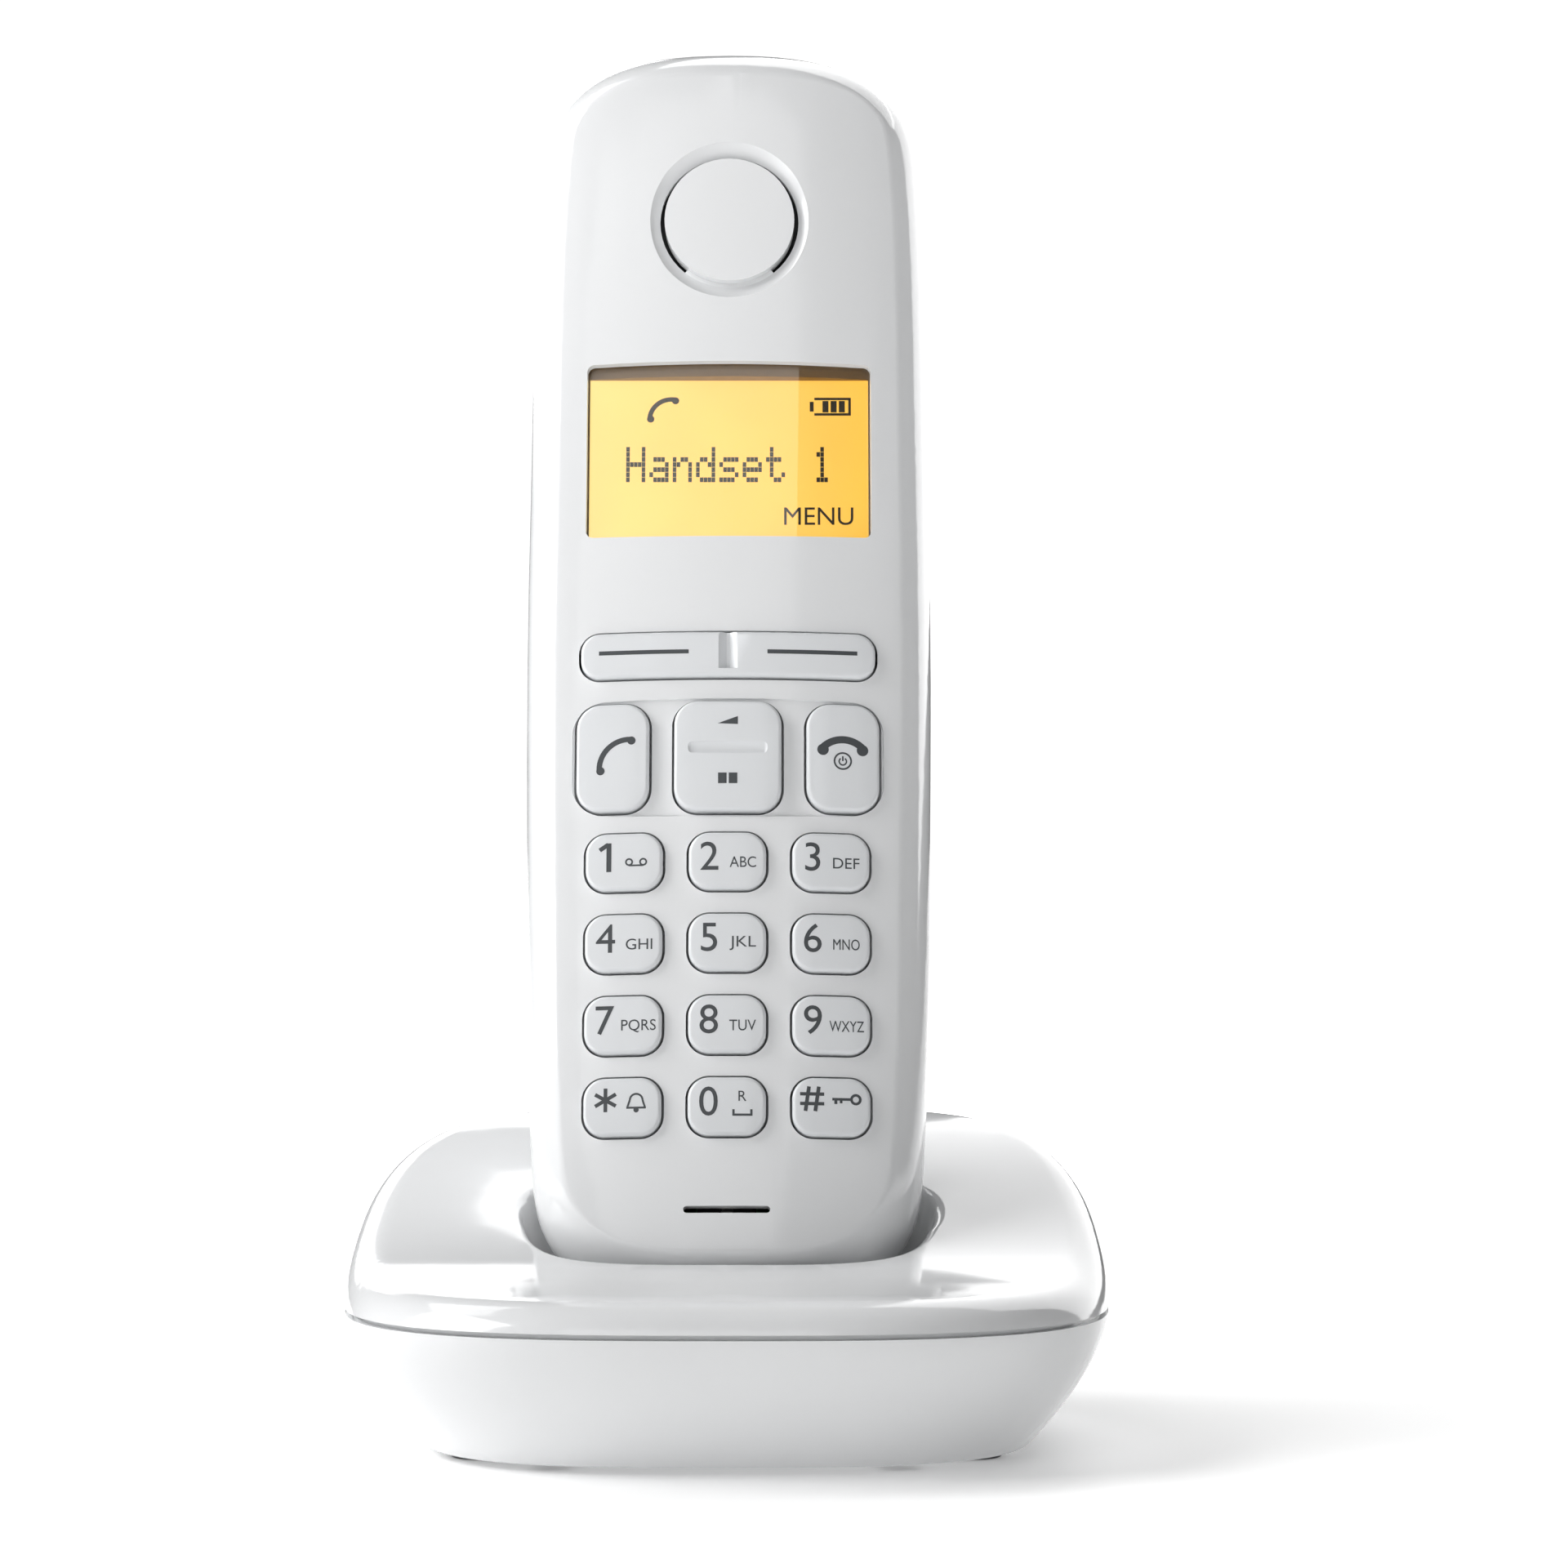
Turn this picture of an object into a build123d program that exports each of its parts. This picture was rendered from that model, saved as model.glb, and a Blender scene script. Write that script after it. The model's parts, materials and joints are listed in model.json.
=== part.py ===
"""Cordless phone handset leaning in its charging base.

Units are millimetres and +Z is up.  The origin is the middle of the base's footprint on the table,
and the front of the phone faces -Y.  The handset is built upright in its own frame, with X across it,
Y from its face (0) to its back and Z along its length from the bottom end (0), then leaned into the base.
"""
import math
import os
from build123d import *

# ---- driving sizes of the handset ----
LENGTH = 152.0            # bottom end to top end
HALF_WIDTH = 23.5         # at the widest place
DEPTH = 26.0              # face to the fullest part of the back
LEAN = 15.0               # degrees the handset leans back in the base
WAIST = 80.0              # height of the widest place
BARREL = 0.00031          # how fast the sides draw in from the widest place
TOP_ROUND = 15.0          # length of the rounded top end
BOTTOM_ROUND = 17.0       # length of the rounded bottom end
SEAM = 11.0               # depth of the line where the two shells meet
WALL = 1.8                # shell wall
FACE_CROWN = 105.0        # radius of the face across the handset
BACK_CROWN = 70.0         # radius of the back across the handset
BACK_SWEEP = 520.0        # radius of the back along the handset
BACK_CENTRE = 88.0        # height of the fullest part of the back

# ---- driving sizes of the base ----
BASE_HALF_WIDTH = 43.0
BASE_HALF_DEPTH = 45.0
BASE_SEAM = 16.0          # height of the line between the two base shells
REVEAL = 0.6              # open gap at that line
FOOT = 0.8                # height of the feet below the floor
BASE_WALL = 1.8
SHOULDER = 5.0            # rounding round the top of the base
RIM_ROUND = 1.4           # rounding of the cradle's rim
DOCK_Y = -17.4            # where the handset's bottom front corner stands
DOCK_Z = 17.1

# ---- fits ----
KEY_GAP = 0.28            # gap round every key
LAP_GAP = 0.1             # between the lapped lips of two shells
COVER_GAP = 0.3           # gap round the battery cover
SLOT_GAP = 0.4            # gap round the charging tongues
NEST_GAP = 0.15           # gap round parts that drop into a seat

# ---- keypad ----
KEY_ROWS = (50.4, 40.95, 31.5, 22.1)
KEY_PITCH = 11.7
KEY_W = 8.75
KEY_H = 6.6
KEY_ROUND = 2.4
KEY_PROUD = 0.85
KEY_EDGE = 0.45
CONTROL_ROW = 62.7
CALL_X = 13.1
CALL_W = 8.3
CALL_H = 12.6
CONTROL_W = 12.2
CONTROL_H = 12.9
BAR_ROW = 74.8
BAR_W = 33.7
BAR_H = 5.3
TRAVEL = 0.5              # how far a key goes in
FLANGE = 0.55             # how far a key's flange passes its hole
MAT_FRONT = 5.2
MAT_THICK = 0.6
BOARD_FRONT = 6.6         # handset circuit board
BOARD_THICK = 1.0

# ---- window and earpiece ----
WINDOW_ROW = 99.8
WINDOW_W = 33.3
WINDOW_H = 21.4
WINDOW_SINK = 0.9
EAR_ROW = 128.0
EAR_DISC = 7.6
EAR_DISH = 9.5
MIC_ROW = 10.5

# ---- battery bay ----
CELL_R = 5.25
CELL_LEN = 43.7
CELL_X = 5.9
CELL_DEPTH = 15.2
CELL_FOOT = 30.0
BAY_HALF = 12.4
BAY_LOW = 25.0
BAY_HIGH = 84.0
COVER_LOW = 27.3          # lower edge of the wide part of the cover
COVER_HIGH = 88.0
COVER_HALF = 14.6
NECK_HALF = 10.0
COVER_THICK = 1.5
HINGE_ROW = 24.0          # height of the cover's hinge line
HINGE_R = 2.0             # barrel of the hinge, flush with the back
HINGE_PIN = 0.75
PIN_FIT = 0.07

# ---- charging contacts ----
TONGUE_X = 9.0
TONGUE_W = 2.4
CURL_V = 20.0
CURL_U = -4.2
CURL_R = 0.8

DOCK = Pos(0, DOCK_Y, DOCK_Z) * Rot(-LEAN, 0, 0)


# =============================== shared shapes ===============================

def closed(points):
    return Face(Wire([Spline(*points, periodic=True)]))


def power(value, exponent):
    if abs(value) < 1e-9:
        return 0.0
    return math.copysign(abs(value) ** exponent, value)


def oval(half_x, half_y, z, square, y_mid=0.0):
    """A flat rounded-square outline; a larger `square` gives tighter corners."""
    points = []
    for deg in range(0, 360, 15):
        turn = math.radians(deg)
        x = half_x * power(math.cos(turn), 2 / square)
        y = y_mid + half_y * power(math.sin(turn), 2 / square)
        points.append((x, y, z))
    return closed(points)


def face_plane(x, z, depth):
    return Plane(origin=(x, depth, z), x_dir=(1, 0, 0), z_dir=(0, -1, 0))


def plate(x, z, w, h, front, back, corner=0.0):
    """A flat plate facing the front, from depth `front` to depth `back`."""
    outline = RectangleRounded(w, h, corner) if corner > 0 else Rectangle(w, h)
    return extrude(face_plane(x, z, back) * outline, back - front)


def disc(x, z, r, front, back):
    return extrude(face_plane(x, z, back) * Circle(r), back - front)


def block(x0, x1, y0, y1, z0, z1):
    corner = (Align.MIN, Align.MIN, Align.MIN)
    return Pos(x0, y0, z0) * Box(x1 - x0, y1 - y0, z1 - z0, align=corner)


def post(x, y, r, z0, z1):
    return Pos(x, y, z0) * Cylinder(r, z1 - z0, align=(Align.CENTER, Align.CENTER, Align.MIN))


def join(pieces):
    whole = pieces[0]
    for piece in pieces[1:]:
        whole = whole + piece
    return whole


def save(name, shape, docked=False):
    placed = DOCK * shape if docked else shape
    export_step(placed, os.path.join("parts", name + ".step"))


# =============================== handset form ===============================

def half_width(z):
    return HALF_WIDTH - BARREL * (z - WAIST) ** 2


def handset_outline(inset, depth):
    """The handset seen from the front, drawn in by `inset`, as a closed face at one depth."""
    z_top = LENGTH - TOP_ROUND
    half = []
    for deg in range(90, -1, -15):
        turn = math.radians(deg)
        z = z_top + (TOP_ROUND - inset) * power(math.sin(turn), 0.8)
        half.append(((half_width(z) - inset) * power(math.cos(turn), 0.8), z))
    for step in (1, 2, 3):
        z = z_top + (BOTTOM_ROUND - z_top) * step / 4
        half.append((half_width(z) - inset, z))
    for deg in range(0, 91, 15):
        turn = math.radians(deg)
        z = BOTTOM_ROUND - (BOTTOM_ROUND - inset) * power(math.sin(turn), 0.8)
        half.append(((half_width(z) - inset) * power(math.cos(turn), 0.8), z))
    right = [(x, depth, z) for x, z in half]
    left = [(-x, depth, z) for x, z in reversed(half[1:-1])]
    return closed(right + left)


def handset_sides(inset):
    """The handset's rounded sides, full at the seam and drawing in to the face and the back."""
    stations = []
    for deg in (72, 63, 54, 42, 30, 15, 0):
        turn = math.radians(deg)
        stations.append((SEAM - (13 - inset) * math.sin(turn), inset + 12 * (1 - math.cos(turn))))
    for deg in (18, 36, 52, 66, 80):
        turn = math.radians(deg)
        stations.append((SEAM + (17.5 - inset) * math.sin(turn), inset + 12 * (1 - math.cos(turn))))
    return loft([handset_outline(drawn, depth) for depth, drawn in stations])


def behind_face(inset):
    """Everything behind the crowned face, `inset` below it."""
    drum = Cylinder(FACE_CROWN - inset, LENGTH + 60, align=(Align.CENTER, Align.CENTER, Align.MIN))
    return Pos(0, FACE_CROWN, -30) * drum


def before_back(inset):
    """Everything in front of the back, which is crowned across and bowed along the handset."""
    sections = []
    for z in (-25, 0, 25, 50, 75, 100, 125, 150, 175):
        top = DEPTH - BACK_SWEEP + math.sqrt((BACK_SWEEP - inset) ** 2 - (z - BACK_CENTRE) ** 2)
        points = []
        for x in (-40, -28, -14, 0, 14, 28, 40):
            radius = BACK_CROWN - inset
            points.append((x, top - radius + math.sqrt(radius ** 2 - x ** 2), z))
        left = (-40, -25, z)
        right = (40, -25, z)
        sides = [Line(points[-1], right), Line(right, left), Line(left, points[0])]
        sections.append(Face(Wire([Spline(*points)] + sides)))
    return loft(sections)


def handset_form(inset):
    return handset_sides(inset) & behind_face(inset) & before_back(inset)


def back_depth(z, inset=0.0):
    """Depth of the back along its middle line."""
    return DEPTH - BACK_SWEEP + math.sqrt((BACK_SWEEP - inset) ** 2 - (z - BACK_CENTRE) ** 2)


HINGE_DEPTH = back_depth(HINGE_ROW) - HINGE_R

FORM = handset_form(0)
FACE_EDGE = [edge for edge in FORM.edges() if edge.bounding_box().max.Y < 6]
FORM_SOFT = fillet(FACE_EDGE, 1.4)
BACK_EDGE = [edge for edge in FORM_SOFT.edges() if edge.bounding_box().min.Y > 15 and edge.length > 200]
FORM_SOFT = fillet(BACK_EDGE, 4.0)
CAVITY = handset_form(WALL)
SEAM_LINE = 0.3           # open line between the shells
FRONT_HALF = block(-40, 40, -10, SEAM - SEAM_LINE / 2, -20, 180)
REAR_HALF = block(-40, 40, SEAM + SEAM_LINE / 2, 60, -20, 180)


# =============================== keys ===============================

KEY_NAMES = (
    ("key_1", "key_2", "key_3"),
    ("key_4", "key_5", "key_6"),
    ("key_7", "key_8", "key_9"),
    ("key_star", "key_0", "key_hash"),
)


def digit_places():
    for row, names in zip(KEY_ROWS, KEY_NAMES):
        for step, name in zip((-1, 0, 1), names):
            yield name, step * KEY_PITCH, row


def cap(x, z, w, h, corner, proud, flange_w, flange_h, flange_front):
    """A key: a rounded cap following the face, a flange behind its hole and a stem for the dome."""
    body = plate(x, z, w, h, -4, flange_front + 0.2, corner) & behind_face(-proud)
    top_edges = [edge for edge in body.edges() if edge.bounding_box().max.Y < 1.2]
    body = fillet(top_edges, KEY_EDGE)
    flange = plate(x, z, flange_w, flange_h, flange_front, flange_front + 0.6, corner)
    return body + flange


def digit_key(x, z):
    wide = KEY_W + 2 * (KEY_GAP + FLANGE)
    tall = KEY_H + 2 * (KEY_GAP + FLANGE)
    body = cap(x, z, KEY_W, KEY_H, KEY_ROUND, KEY_PROUD, wide, tall, 3.5)
    stem = disc(x, z, 1.3, 4.0, MAT_FRONT - TRAVEL - 0.1)
    return body + stem


def call_key(x):
    wide = CALL_W + 2 * (KEY_GAP + FLANGE)
    tall = CALL_H + 2 * (KEY_GAP + FLANGE)
    body = cap(x, CONTROL_ROW, CALL_W, CALL_H, 2.8, 0.75, wide, tall, 3.5)
    stem = disc(x, CONTROL_ROW, 1.6, 4.0, MAT_FRONT - TRAVEL - 0.1)
    return body + stem


def control_key():
    """A rocking key with a finger groove across its middle."""
    wide = CONTROL_W + 2 * (KEY_GAP + 0.4)
    tall = CONTROL_H + 2 * (KEY_GAP + 0.4)
    body = cap(0, CONTROL_ROW, CONTROL_W, CONTROL_H, 2.7, 0.95, wide, tall, 3.4)
    roller = Pos(0, -1.55, CONTROL_ROW + 0.95) * Rot(0, 90, 0) * Cylinder(0.95, 9.2)
    ends = [edge for edge in roller.edges()]
    roller = fillet(ends, 0.5)
    high = disc(0, CONTROL_ROW + 4.2, 1.1, 3.9, 4.6)
    low = disc(0, CONTROL_ROW - 4.2, 1.1, 3.9, 4.6)
    return body - roller + high + low


def display_key_bar():
    """One long rocking cap: a vee down its middle parts the left press from the right press."""
    tall = BAR_H + 2 * (KEY_GAP + FLANGE)
    body = cap(0, BAR_ROW, BAR_W, BAR_H, 2.2, 0.8, 29.0, tall, 3.95)
    vee_points = [(-2.0, -1.6), (2.0, -1.6), (0.2, 0.0), (-0.2, 0.0)]
    vee_line = Polyline(*[(x, y, BAR_ROW - BAR_H / 2 + 0.9) for x, y in vee_points], close=True)
    vee = extrude(Face(Wire(vee_line.edges())), BAR_H, dir=(0, 0, 1))
    left = disc(-11.5, BAR_ROW, 1.1, 4.4, 4.6)
    right = disc(11.5, BAR_ROW, 1.1, 4.4, 4.6)
    return body - vee + left + right


# =============================== handset shells ===============================

def window_opening():
    outer = face_plane(0, WINDOW_ROW, -0.3) * RectangleRounded(WINDOW_W, WINDOW_H, 0.9)
    inner = face_plane(0, WINDOW_ROW, 4.5) * RectangleRounded(WINDOW_W - 1.0, WINDOW_H - 1.0, 0.7)
    through = loft([outer, inner])
    mouth = plate(0, WINDOW_ROW, WINDOW_W, WINDOW_H, -2, -0.3, 0.9)
    seat = plate(0, WINDOW_ROW, WINDOW_W + 1.6, WINDOW_H + 1.5, -2, 8, 0.9) & behind_face(WINDOW_SINK)
    return through + mouth + seat


def window_lens():
    body = plate(0, WINDOW_ROW, WINDOW_W + 1.4, WINDOW_H + 1.3, -2, 8, 0.8)
    return body & behind_face(WINDOW_SINK) - behind_face(WINDOW_SINK + 0.9)


def earpiece_dish():
    """A conical dish round the earpiece disc, with a C-shaped sound slot at its foot."""
    points = [(EAR_DISC, -2), (EAR_DISH + 1.6, -2), (EAR_DISH, 0.25), (EAR_DISC + 0.5, 1.25), (EAR_DISC, 1.25)]
    line = Polyline(*[(x, y, 0) for x, y in points], close=True)
    ring = revolve(Face(Wire(line.edges())), Axis((0, 0, 0), (0, 1, 0)), 360)
    return Pos(0, 0, EAR_ROW) * ring


def earpiece_slot():
    ring = disc(0, EAR_ROW, EAR_DISC + 0.5, -1, 5) - disc(0, EAR_ROW, EAR_DISC, -2, 6)
    corners = [(0, -1, EAR_ROW), (-30, -1, EAR_ROW - 36), (30, -1, EAR_ROW - 36)]
    line = Polyline(*corners, close=True)
    bridge = extrude(Face(Wire(line.edges())), 8, dir=(0, 1, 0))
    return ring - bridge


def control_recess():
    """The shallow tray round the talk, control and end keys, with sloping sides."""
    outline = face_plane(0, CONTROL_ROW, 3.5) * RectangleRounded(34.6, 12.2, 3.2)
    tray = extrude(outline, 4.6, taper=-14)
    return tray - behind_face(0.35)


def key_holes():
    holes = []
    for _, x, z in digit_places():
        holes.append(plate(x, z, KEY_W + 2 * KEY_GAP, KEY_H + 2 * KEY_GAP, -3, 6, KEY_ROUND + KEY_GAP))
    for x in (-CALL_X, CALL_X):
        holes.append(plate(x, CONTROL_ROW, CALL_W + 2 * KEY_GAP, CALL_H + 2 * KEY_GAP, -3, 6, 2.8 + KEY_GAP))
    wide = CONTROL_W + 2 * KEY_GAP
    tall = CONTROL_H + 2 * KEY_GAP
    holes.append(plate(0, CONTROL_ROW, wide, tall, -3, 6, 2.7 + KEY_GAP))
    holes.append(plate(0, BAR_ROW, BAR_W + 2 * KEY_GAP, BAR_H + 2 * KEY_GAP, -3, 6, 2.2 + KEY_GAP))
    return join(holes)


SCREW_PLACES = ((-12.5, 14.0), (12.5, 14.0), (-14.5, 139.5), (14.5, 139.5))


def front_shell():
    bosses = join([disc(x, z, 2.6, 0, 10.0) for x, z in SCREW_PLACES])
    shell = (FORM_SOFT & FRONT_HALF) - (CAVITY - bosses)
    lip = handset_sides(0.85) & block(-40, 40, 9.6, 12, -20, 180)
    pilots = join([disc(x, z, 0.95, 4.0, 11.0) for x, z in SCREW_PLACES])
    cuts = lip + pilots
    shell = shell - (cuts - bosses) - pilots
    shell = shell - control_recess() - key_holes() - window_opening()
    shell = shell - earpiece_dish() - earpiece_slot()
    return shell - plate(0, MIC_ROW, 9.7, 0.8, -2, 5, 0.39)


def cover_outline(gap):
    """The battery cover's outline: a wide panel with a narrower neck down to its hinge."""
    wide = COVER_HALF + gap
    neck = NECK_HALF + gap
    panel = block(-wide, wide, 8, 40, COVER_LOW - 2 * gap, COVER_HIGH + gap)
    return panel + block(-neck, neck, 8, 40, HINGE_ROW, COVER_LOW + 1)


def cover_opening():
    """The opening the cover closes, cut just past the cover's thickness, with room for its hinge."""
    neck = NECK_HALF + COVER_GAP
    low = HINGE_ROW - HINGE_R - COVER_GAP
    skin = cover_outline(COVER_GAP) - before_back(COVER_THICK + 0.4)
    return skin + block(-neck, neck, HINGE_DEPTH - HINGE_R - COVER_GAP, 40, low, COVER_LOW)


def hinge_barrel(radius, half):
    return Pos(0, HINGE_DEPTH, HINGE_ROW) * Rot(0, 90, 0) * Cylinder(radius, 2 * half)


def battery_tray():
    """The open box that holds the two cells, below the cover."""
    outer = block(-BAY_HALF - 1.2, BAY_HALF + 1.2, 8.4, 30, BAY_LOW - 1.2, BAY_HIGH + 1.2)
    return outer - block(-BAY_HALF, BAY_HALF, 9.5, 31, BAY_LOW, BAY_HIGH)


def cover_ledge():
    """The ledge the closed cover rests over, along its sides and its upper end."""
    outer = block(-17, 17, 8, 40, COVER_LOW + 2, COVER_HIGH + 2.5)
    inner = block(-BAY_HALF, BAY_HALF, 7, 41, COVER_LOW, BAY_HIGH)
    return (outer - inner) - before_back(COVER_THICK + 1.5)


def hinge_cheeks():
    """Two blocks inside the shell that carry the pins of the cover."""
    start = NECK_HALF + COVER_GAP
    right = block(start, start + 2.6, 16.5, 30, HINGE_ROW - 2.6, COVER_LOW - 2 * COVER_GAP)
    left = block(-start - 2.6, -start, 16.5, 30, HINGE_ROW - 2.6, COVER_LOW - 2 * COVER_GAP)
    return right + left


def grille():
    holes = [disc(0, RINGER_ROW, 0.8, 16, 30)]
    for count, reach in ((6, 3.4), (12, 6.6)):
        for step in range(count):
            turn = math.radians(360 * step / count)
            x = reach * math.cos(turn)
            z = RINGER_ROW + reach * math.sin(turn)
            holes.append(disc(x, z, 0.8, 16, 30))
    return join(holes)


def ringer_ring():
    return disc(0, RINGER_ROW, RINGER_R - 0.3, RINGER_BACK + 0.02, 30) - disc(0, RINGER_ROW, RINGER_R - 1.6, 16, 31)


def screw_tubes():
    return join([disc(x, z, 2.6, 10.2, 30.0) for x, z in SCREW_PLACES])


SCREW_SEAT = 13.0         # depth of the ledge under each screw head


def screw_bores():
    shanks = join([disc(x, z, 1.15, 9.0, 27.0) for x, z in SCREW_PLACES])
    heads = join([disc(x, z, 2.0, SCREW_SEAT, 27.0) for x, z in SCREW_PLACES])
    return shanks + heads


def contact_windows(gap):
    size = 1.8 + gap
    boxes = [block(x - size, x + size, 14 - 2.2 - gap, 14 + 2.2 + gap, -2, 4) for x in (-TONGUE_X, TONGUE_X)]
    return join(boxes)


def hinge_room():
    """Clear space for the cover's barrel."""
    neck = NECK_HALF + COVER_GAP
    low = HINGE_ROW - HINGE_R - COVER_GAP
    return block(-neck, neck, HINGE_DEPTH - HINGE_R - COVER_GAP, 40, low, HINGE_ROW + HINGE_R + 2)


def rear_shell():
    shell = (FORM_SOFT & REAR_HALF) - CAVITY
    lip = (handset_sides(0.85 + LAP_GAP) - handset_sides(WALL)) & block(-40, 40, 9.8, SEAM + 0.6, -20, 180)
    shell = shell - cover_opening() + lip - grille() - contact_windows(0.05)
    bores = screw_bores()
    shell = shell - bores
    tray = (battery_tray() + cover_ledge()) & before_back(COVER_THICK + 0.4)
    shell = shell + (tray - hinge_room())
    shell = shell + ((screw_tubes() - bores) & before_back(0.7))
    shell = shell + (hinge_cheeks() & before_back(0.7))
    shell = shell + (ringer_ring() & before_back(0.7))
    return shell - hinge_barrel(HINGE_PIN + PIN_FIT, NECK_HALF + COVER_GAP + 1.7)


def battery_cover():
    panel = (FORM_SOFT - before_back(COVER_THICK)) & cover_outline(0)
    barrel = hinge_barrel(HINGE_R, NECK_HALF) & before_back(0)
    pins = hinge_barrel(HINGE_PIN, NECK_HALF + 1.5)
    return panel + barrel + pins


# =============================== inside the handset ===============================

def display_stack():
    """The display glass on its light box."""
    glass = plate(0, WINDOW_ROW + 0.2, 35.0, 24.6, 3.5, 5.0, 0.5)
    light = plate(0, WINDOW_ROW + 0.2, 35.0, 27.0, 5.0, BOARD_FRONT, 0.8)
    return glass, light


def display_ribbon():
    """The ribbon from the foot of the display glass to the board."""
    top = block(-9, 9, 4.4, 4.6, 84.6, 87.7)
    drop = block(-9, 9, 4.4, BOARD_FRONT, 84.4, 84.6)
    foot = block(-9, 9, BOARD_FRONT - 0.2, BOARD_FRONT, 82.2, 84.6)
    return top + drop + foot


def earpiece():
    """The small speaker behind the earpiece disc."""
    body = disc(0, EAR_ROW, 9.2, 3.4, 5.6)
    magnet = disc(0, EAR_ROW, 5.4, 5.6, 6.5)
    return body + magnet


def earpiece_gasket():
    return disc(0, EAR_ROW, 9.4, 2.5, 3.4) - disc(0, EAR_ROW, 8.3, 2, 4)


def microphone():
    return disc(0, MIC_ROW, 2.3, 3.6, 5.4)


def microphone_boot():
    cup = disc(0, MIC_ROW, 3.3, 2.6, 5.4) - disc(0, MIC_ROW, 2.3, 3.6, 6.0)
    return cup - disc(0, MIC_ROW, 0.8, 2, 4)


def handset_board():
    """The circuit board, notched round the screw posts."""
    board = plate(0, 75.0, 33.0, 134.0, BOARD_FRONT, BOARD_FRONT + BOARD_THICK, 3.0)
    return board - join([disc(x, z, 3.1, 6, 8) for x, z in SCREW_PLACES])


def dome_film():
    """The film of snap domes on the front of the board, one under each stem."""
    film = plate(0, 48.4, 31.0, 62.2, BOARD_FRONT - 0.2, BOARD_FRONT, 1.5)
    places = [(x, z) for _, x, z in digit_places()]
    places += [(-CALL_X, CONTROL_ROW), (CALL_X, CONTROL_ROW)]
    places += [(0, CONTROL_ROW + 4.2), (0, CONTROL_ROW - 4.2), (-11.5, BAR_ROW), (11.5, BAR_ROW)]
    domes = [disc(x, z, 2.2, BOARD_FRONT - 0.45, BOARD_FRONT - 0.1) for x, z in places]
    return film + join(domes)


def keypad_mat():
    """The rubber mat between the keys and the domes."""
    mat = plate(0, 48.3, 34.0, 62.2, MAT_FRONT, MAT_FRONT + MAT_THICK, 2.0)
    return mat


def radio_shield():
    can = plate(0, 103.0, 24.0, 20.0, BOARD_FRONT + BOARD_THICK, 10.0, 1.0)
    hollow = plate(0, 103.0, 23.4, 19.4, BOARD_FRONT + BOARD_THICK - 0.5, 9.7, 0.8)
    return can - hollow


RINGER_ROW = 118.0
RINGER_R = 9.6
RINGER_BACK = 22.3


def ringer():
    body = disc(0, RINGER_ROW, RINGER_R, RINGER_BACK - 2.4, RINGER_BACK)
    magnet = disc(0, RINGER_ROW, 5.6, RINGER_BACK - 4.0, RINGER_BACK - 2.4)
    return body + magnet


def cell(x, flip):
    """One rechargeable cell with its button end, standing up or upside down."""
    can = Pos(x, CELL_DEPTH, CELL_FOOT) * Cylinder(CELL_R, CELL_LEN, align=(Align.CENTER, Align.CENTER, Align.MIN))
    can = chamfer([edge for edge in can.edges()], 0.4)
    nub_low = CELL_FOOT + CELL_LEN
    nub = post(x, CELL_DEPTH, 1.9, nub_low - 0.1, nub_low + 0.8)
    whole = can + nub
    if not flip:
        return whole
    middle = (BAY_LOW_PLATE + BAY_HIGH_PLATE) / 2
    return whole.rotate(Axis((x, CELL_DEPTH, middle), (0, 1, 0)), 180)


BAY_LOW_PLATE = 26.2 + 1.8
BAY_HIGH_PLATE = BAY_HIGH - 0.6


def battery_plates():
    """The sprung end plates of the battery bay."""
    low = block(-11.6, 11.6, 10.2, 15.6, BAY_LOW_PLATE - 0.4, BAY_LOW_PLATE)
    fold = block(-11.6, 11.6, 9.5, 9.9, BAY_LOW_PLATE - 2.6, BAY_LOW_PLATE)
    back = block(-11.6, 11.6, 9.5, 10.3, BAY_LOW_PLATE - 0.4, BAY_LOW_PLATE)
    high = block(-11.6, 11.6, 10.2, 20.0, BAY_HIGH - 0.4, BAY_HIGH)
    return low + fold + back + high


def coil(x, start, end, turns):
    path = Helix(pitch=(end - start) / turns, height=end - start, radius=2.6)
    wire = Plane(origin=path @ 0, z_dir=path % 0) * Circle(0.3)
    return Pos(x, CELL_DEPTH, start) * sweep(wire, path=path, is_frenet=True)


def charge_plates():
    """The two metal plates in the handset's bottom end, gripped inside by their flanges."""
    face = contact_windows(0.0) & (handset_sides(0.05) - handset_sides(2.4))
    size = 2.8
    boxes = [block(x - size, x + size, 11.7, 15.9, -2, 5) for x in (-TONGUE_X, TONGUE_X)]
    flange = join(boxes) & (handset_sides(WALL + 0.05) - handset_sides(2.4))
    return face + flange


def handset_screws():
    screws = []
    for x, z in SCREW_PLACES:
        shank = disc(x, z, 0.95, 5.0, SCREW_SEAT)
        head = disc(x, z, 1.85, SCREW_SEAT, SCREW_SEAT + 1.6)
        wide = block(x - 1.1, x + 1.1, SCREW_SEAT + 1.1, SCREW_SEAT + 2, z - 0.2, z + 0.2)
        cross = wide + block(x - 0.2, x + 0.2, SCREW_SEAT + 1.1, SCREW_SEAT + 2, z - 1.1, z + 1.1)
        screws.append(shank + head - cross)
    return join(screws)


# =============================== base form ===============================

DOME_RISE = 24.0
DOME_TURN = 58.0


def base_dome(inset):
    """The upper half of the base: upright at the seam and rounding inwards as it rises."""
    full = math.sin(math.radians(DOME_TURN))
    rings = []
    for deg in (0, 12, 24, 36, 48, 58):
        turn = math.radians(deg)
        drawn = inset + DOME_RISE * (1 - math.cos(turn))
        z = BASE_SEAM + REVEAL / 2 + (DOME_RISE - inset) * math.sin(turn) / full
        rings.append(oval(BASE_HALF_WIDTH - drawn, BASE_HALF_DEPTH - drawn, z, 3.0))
    return loft(rings)


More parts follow.
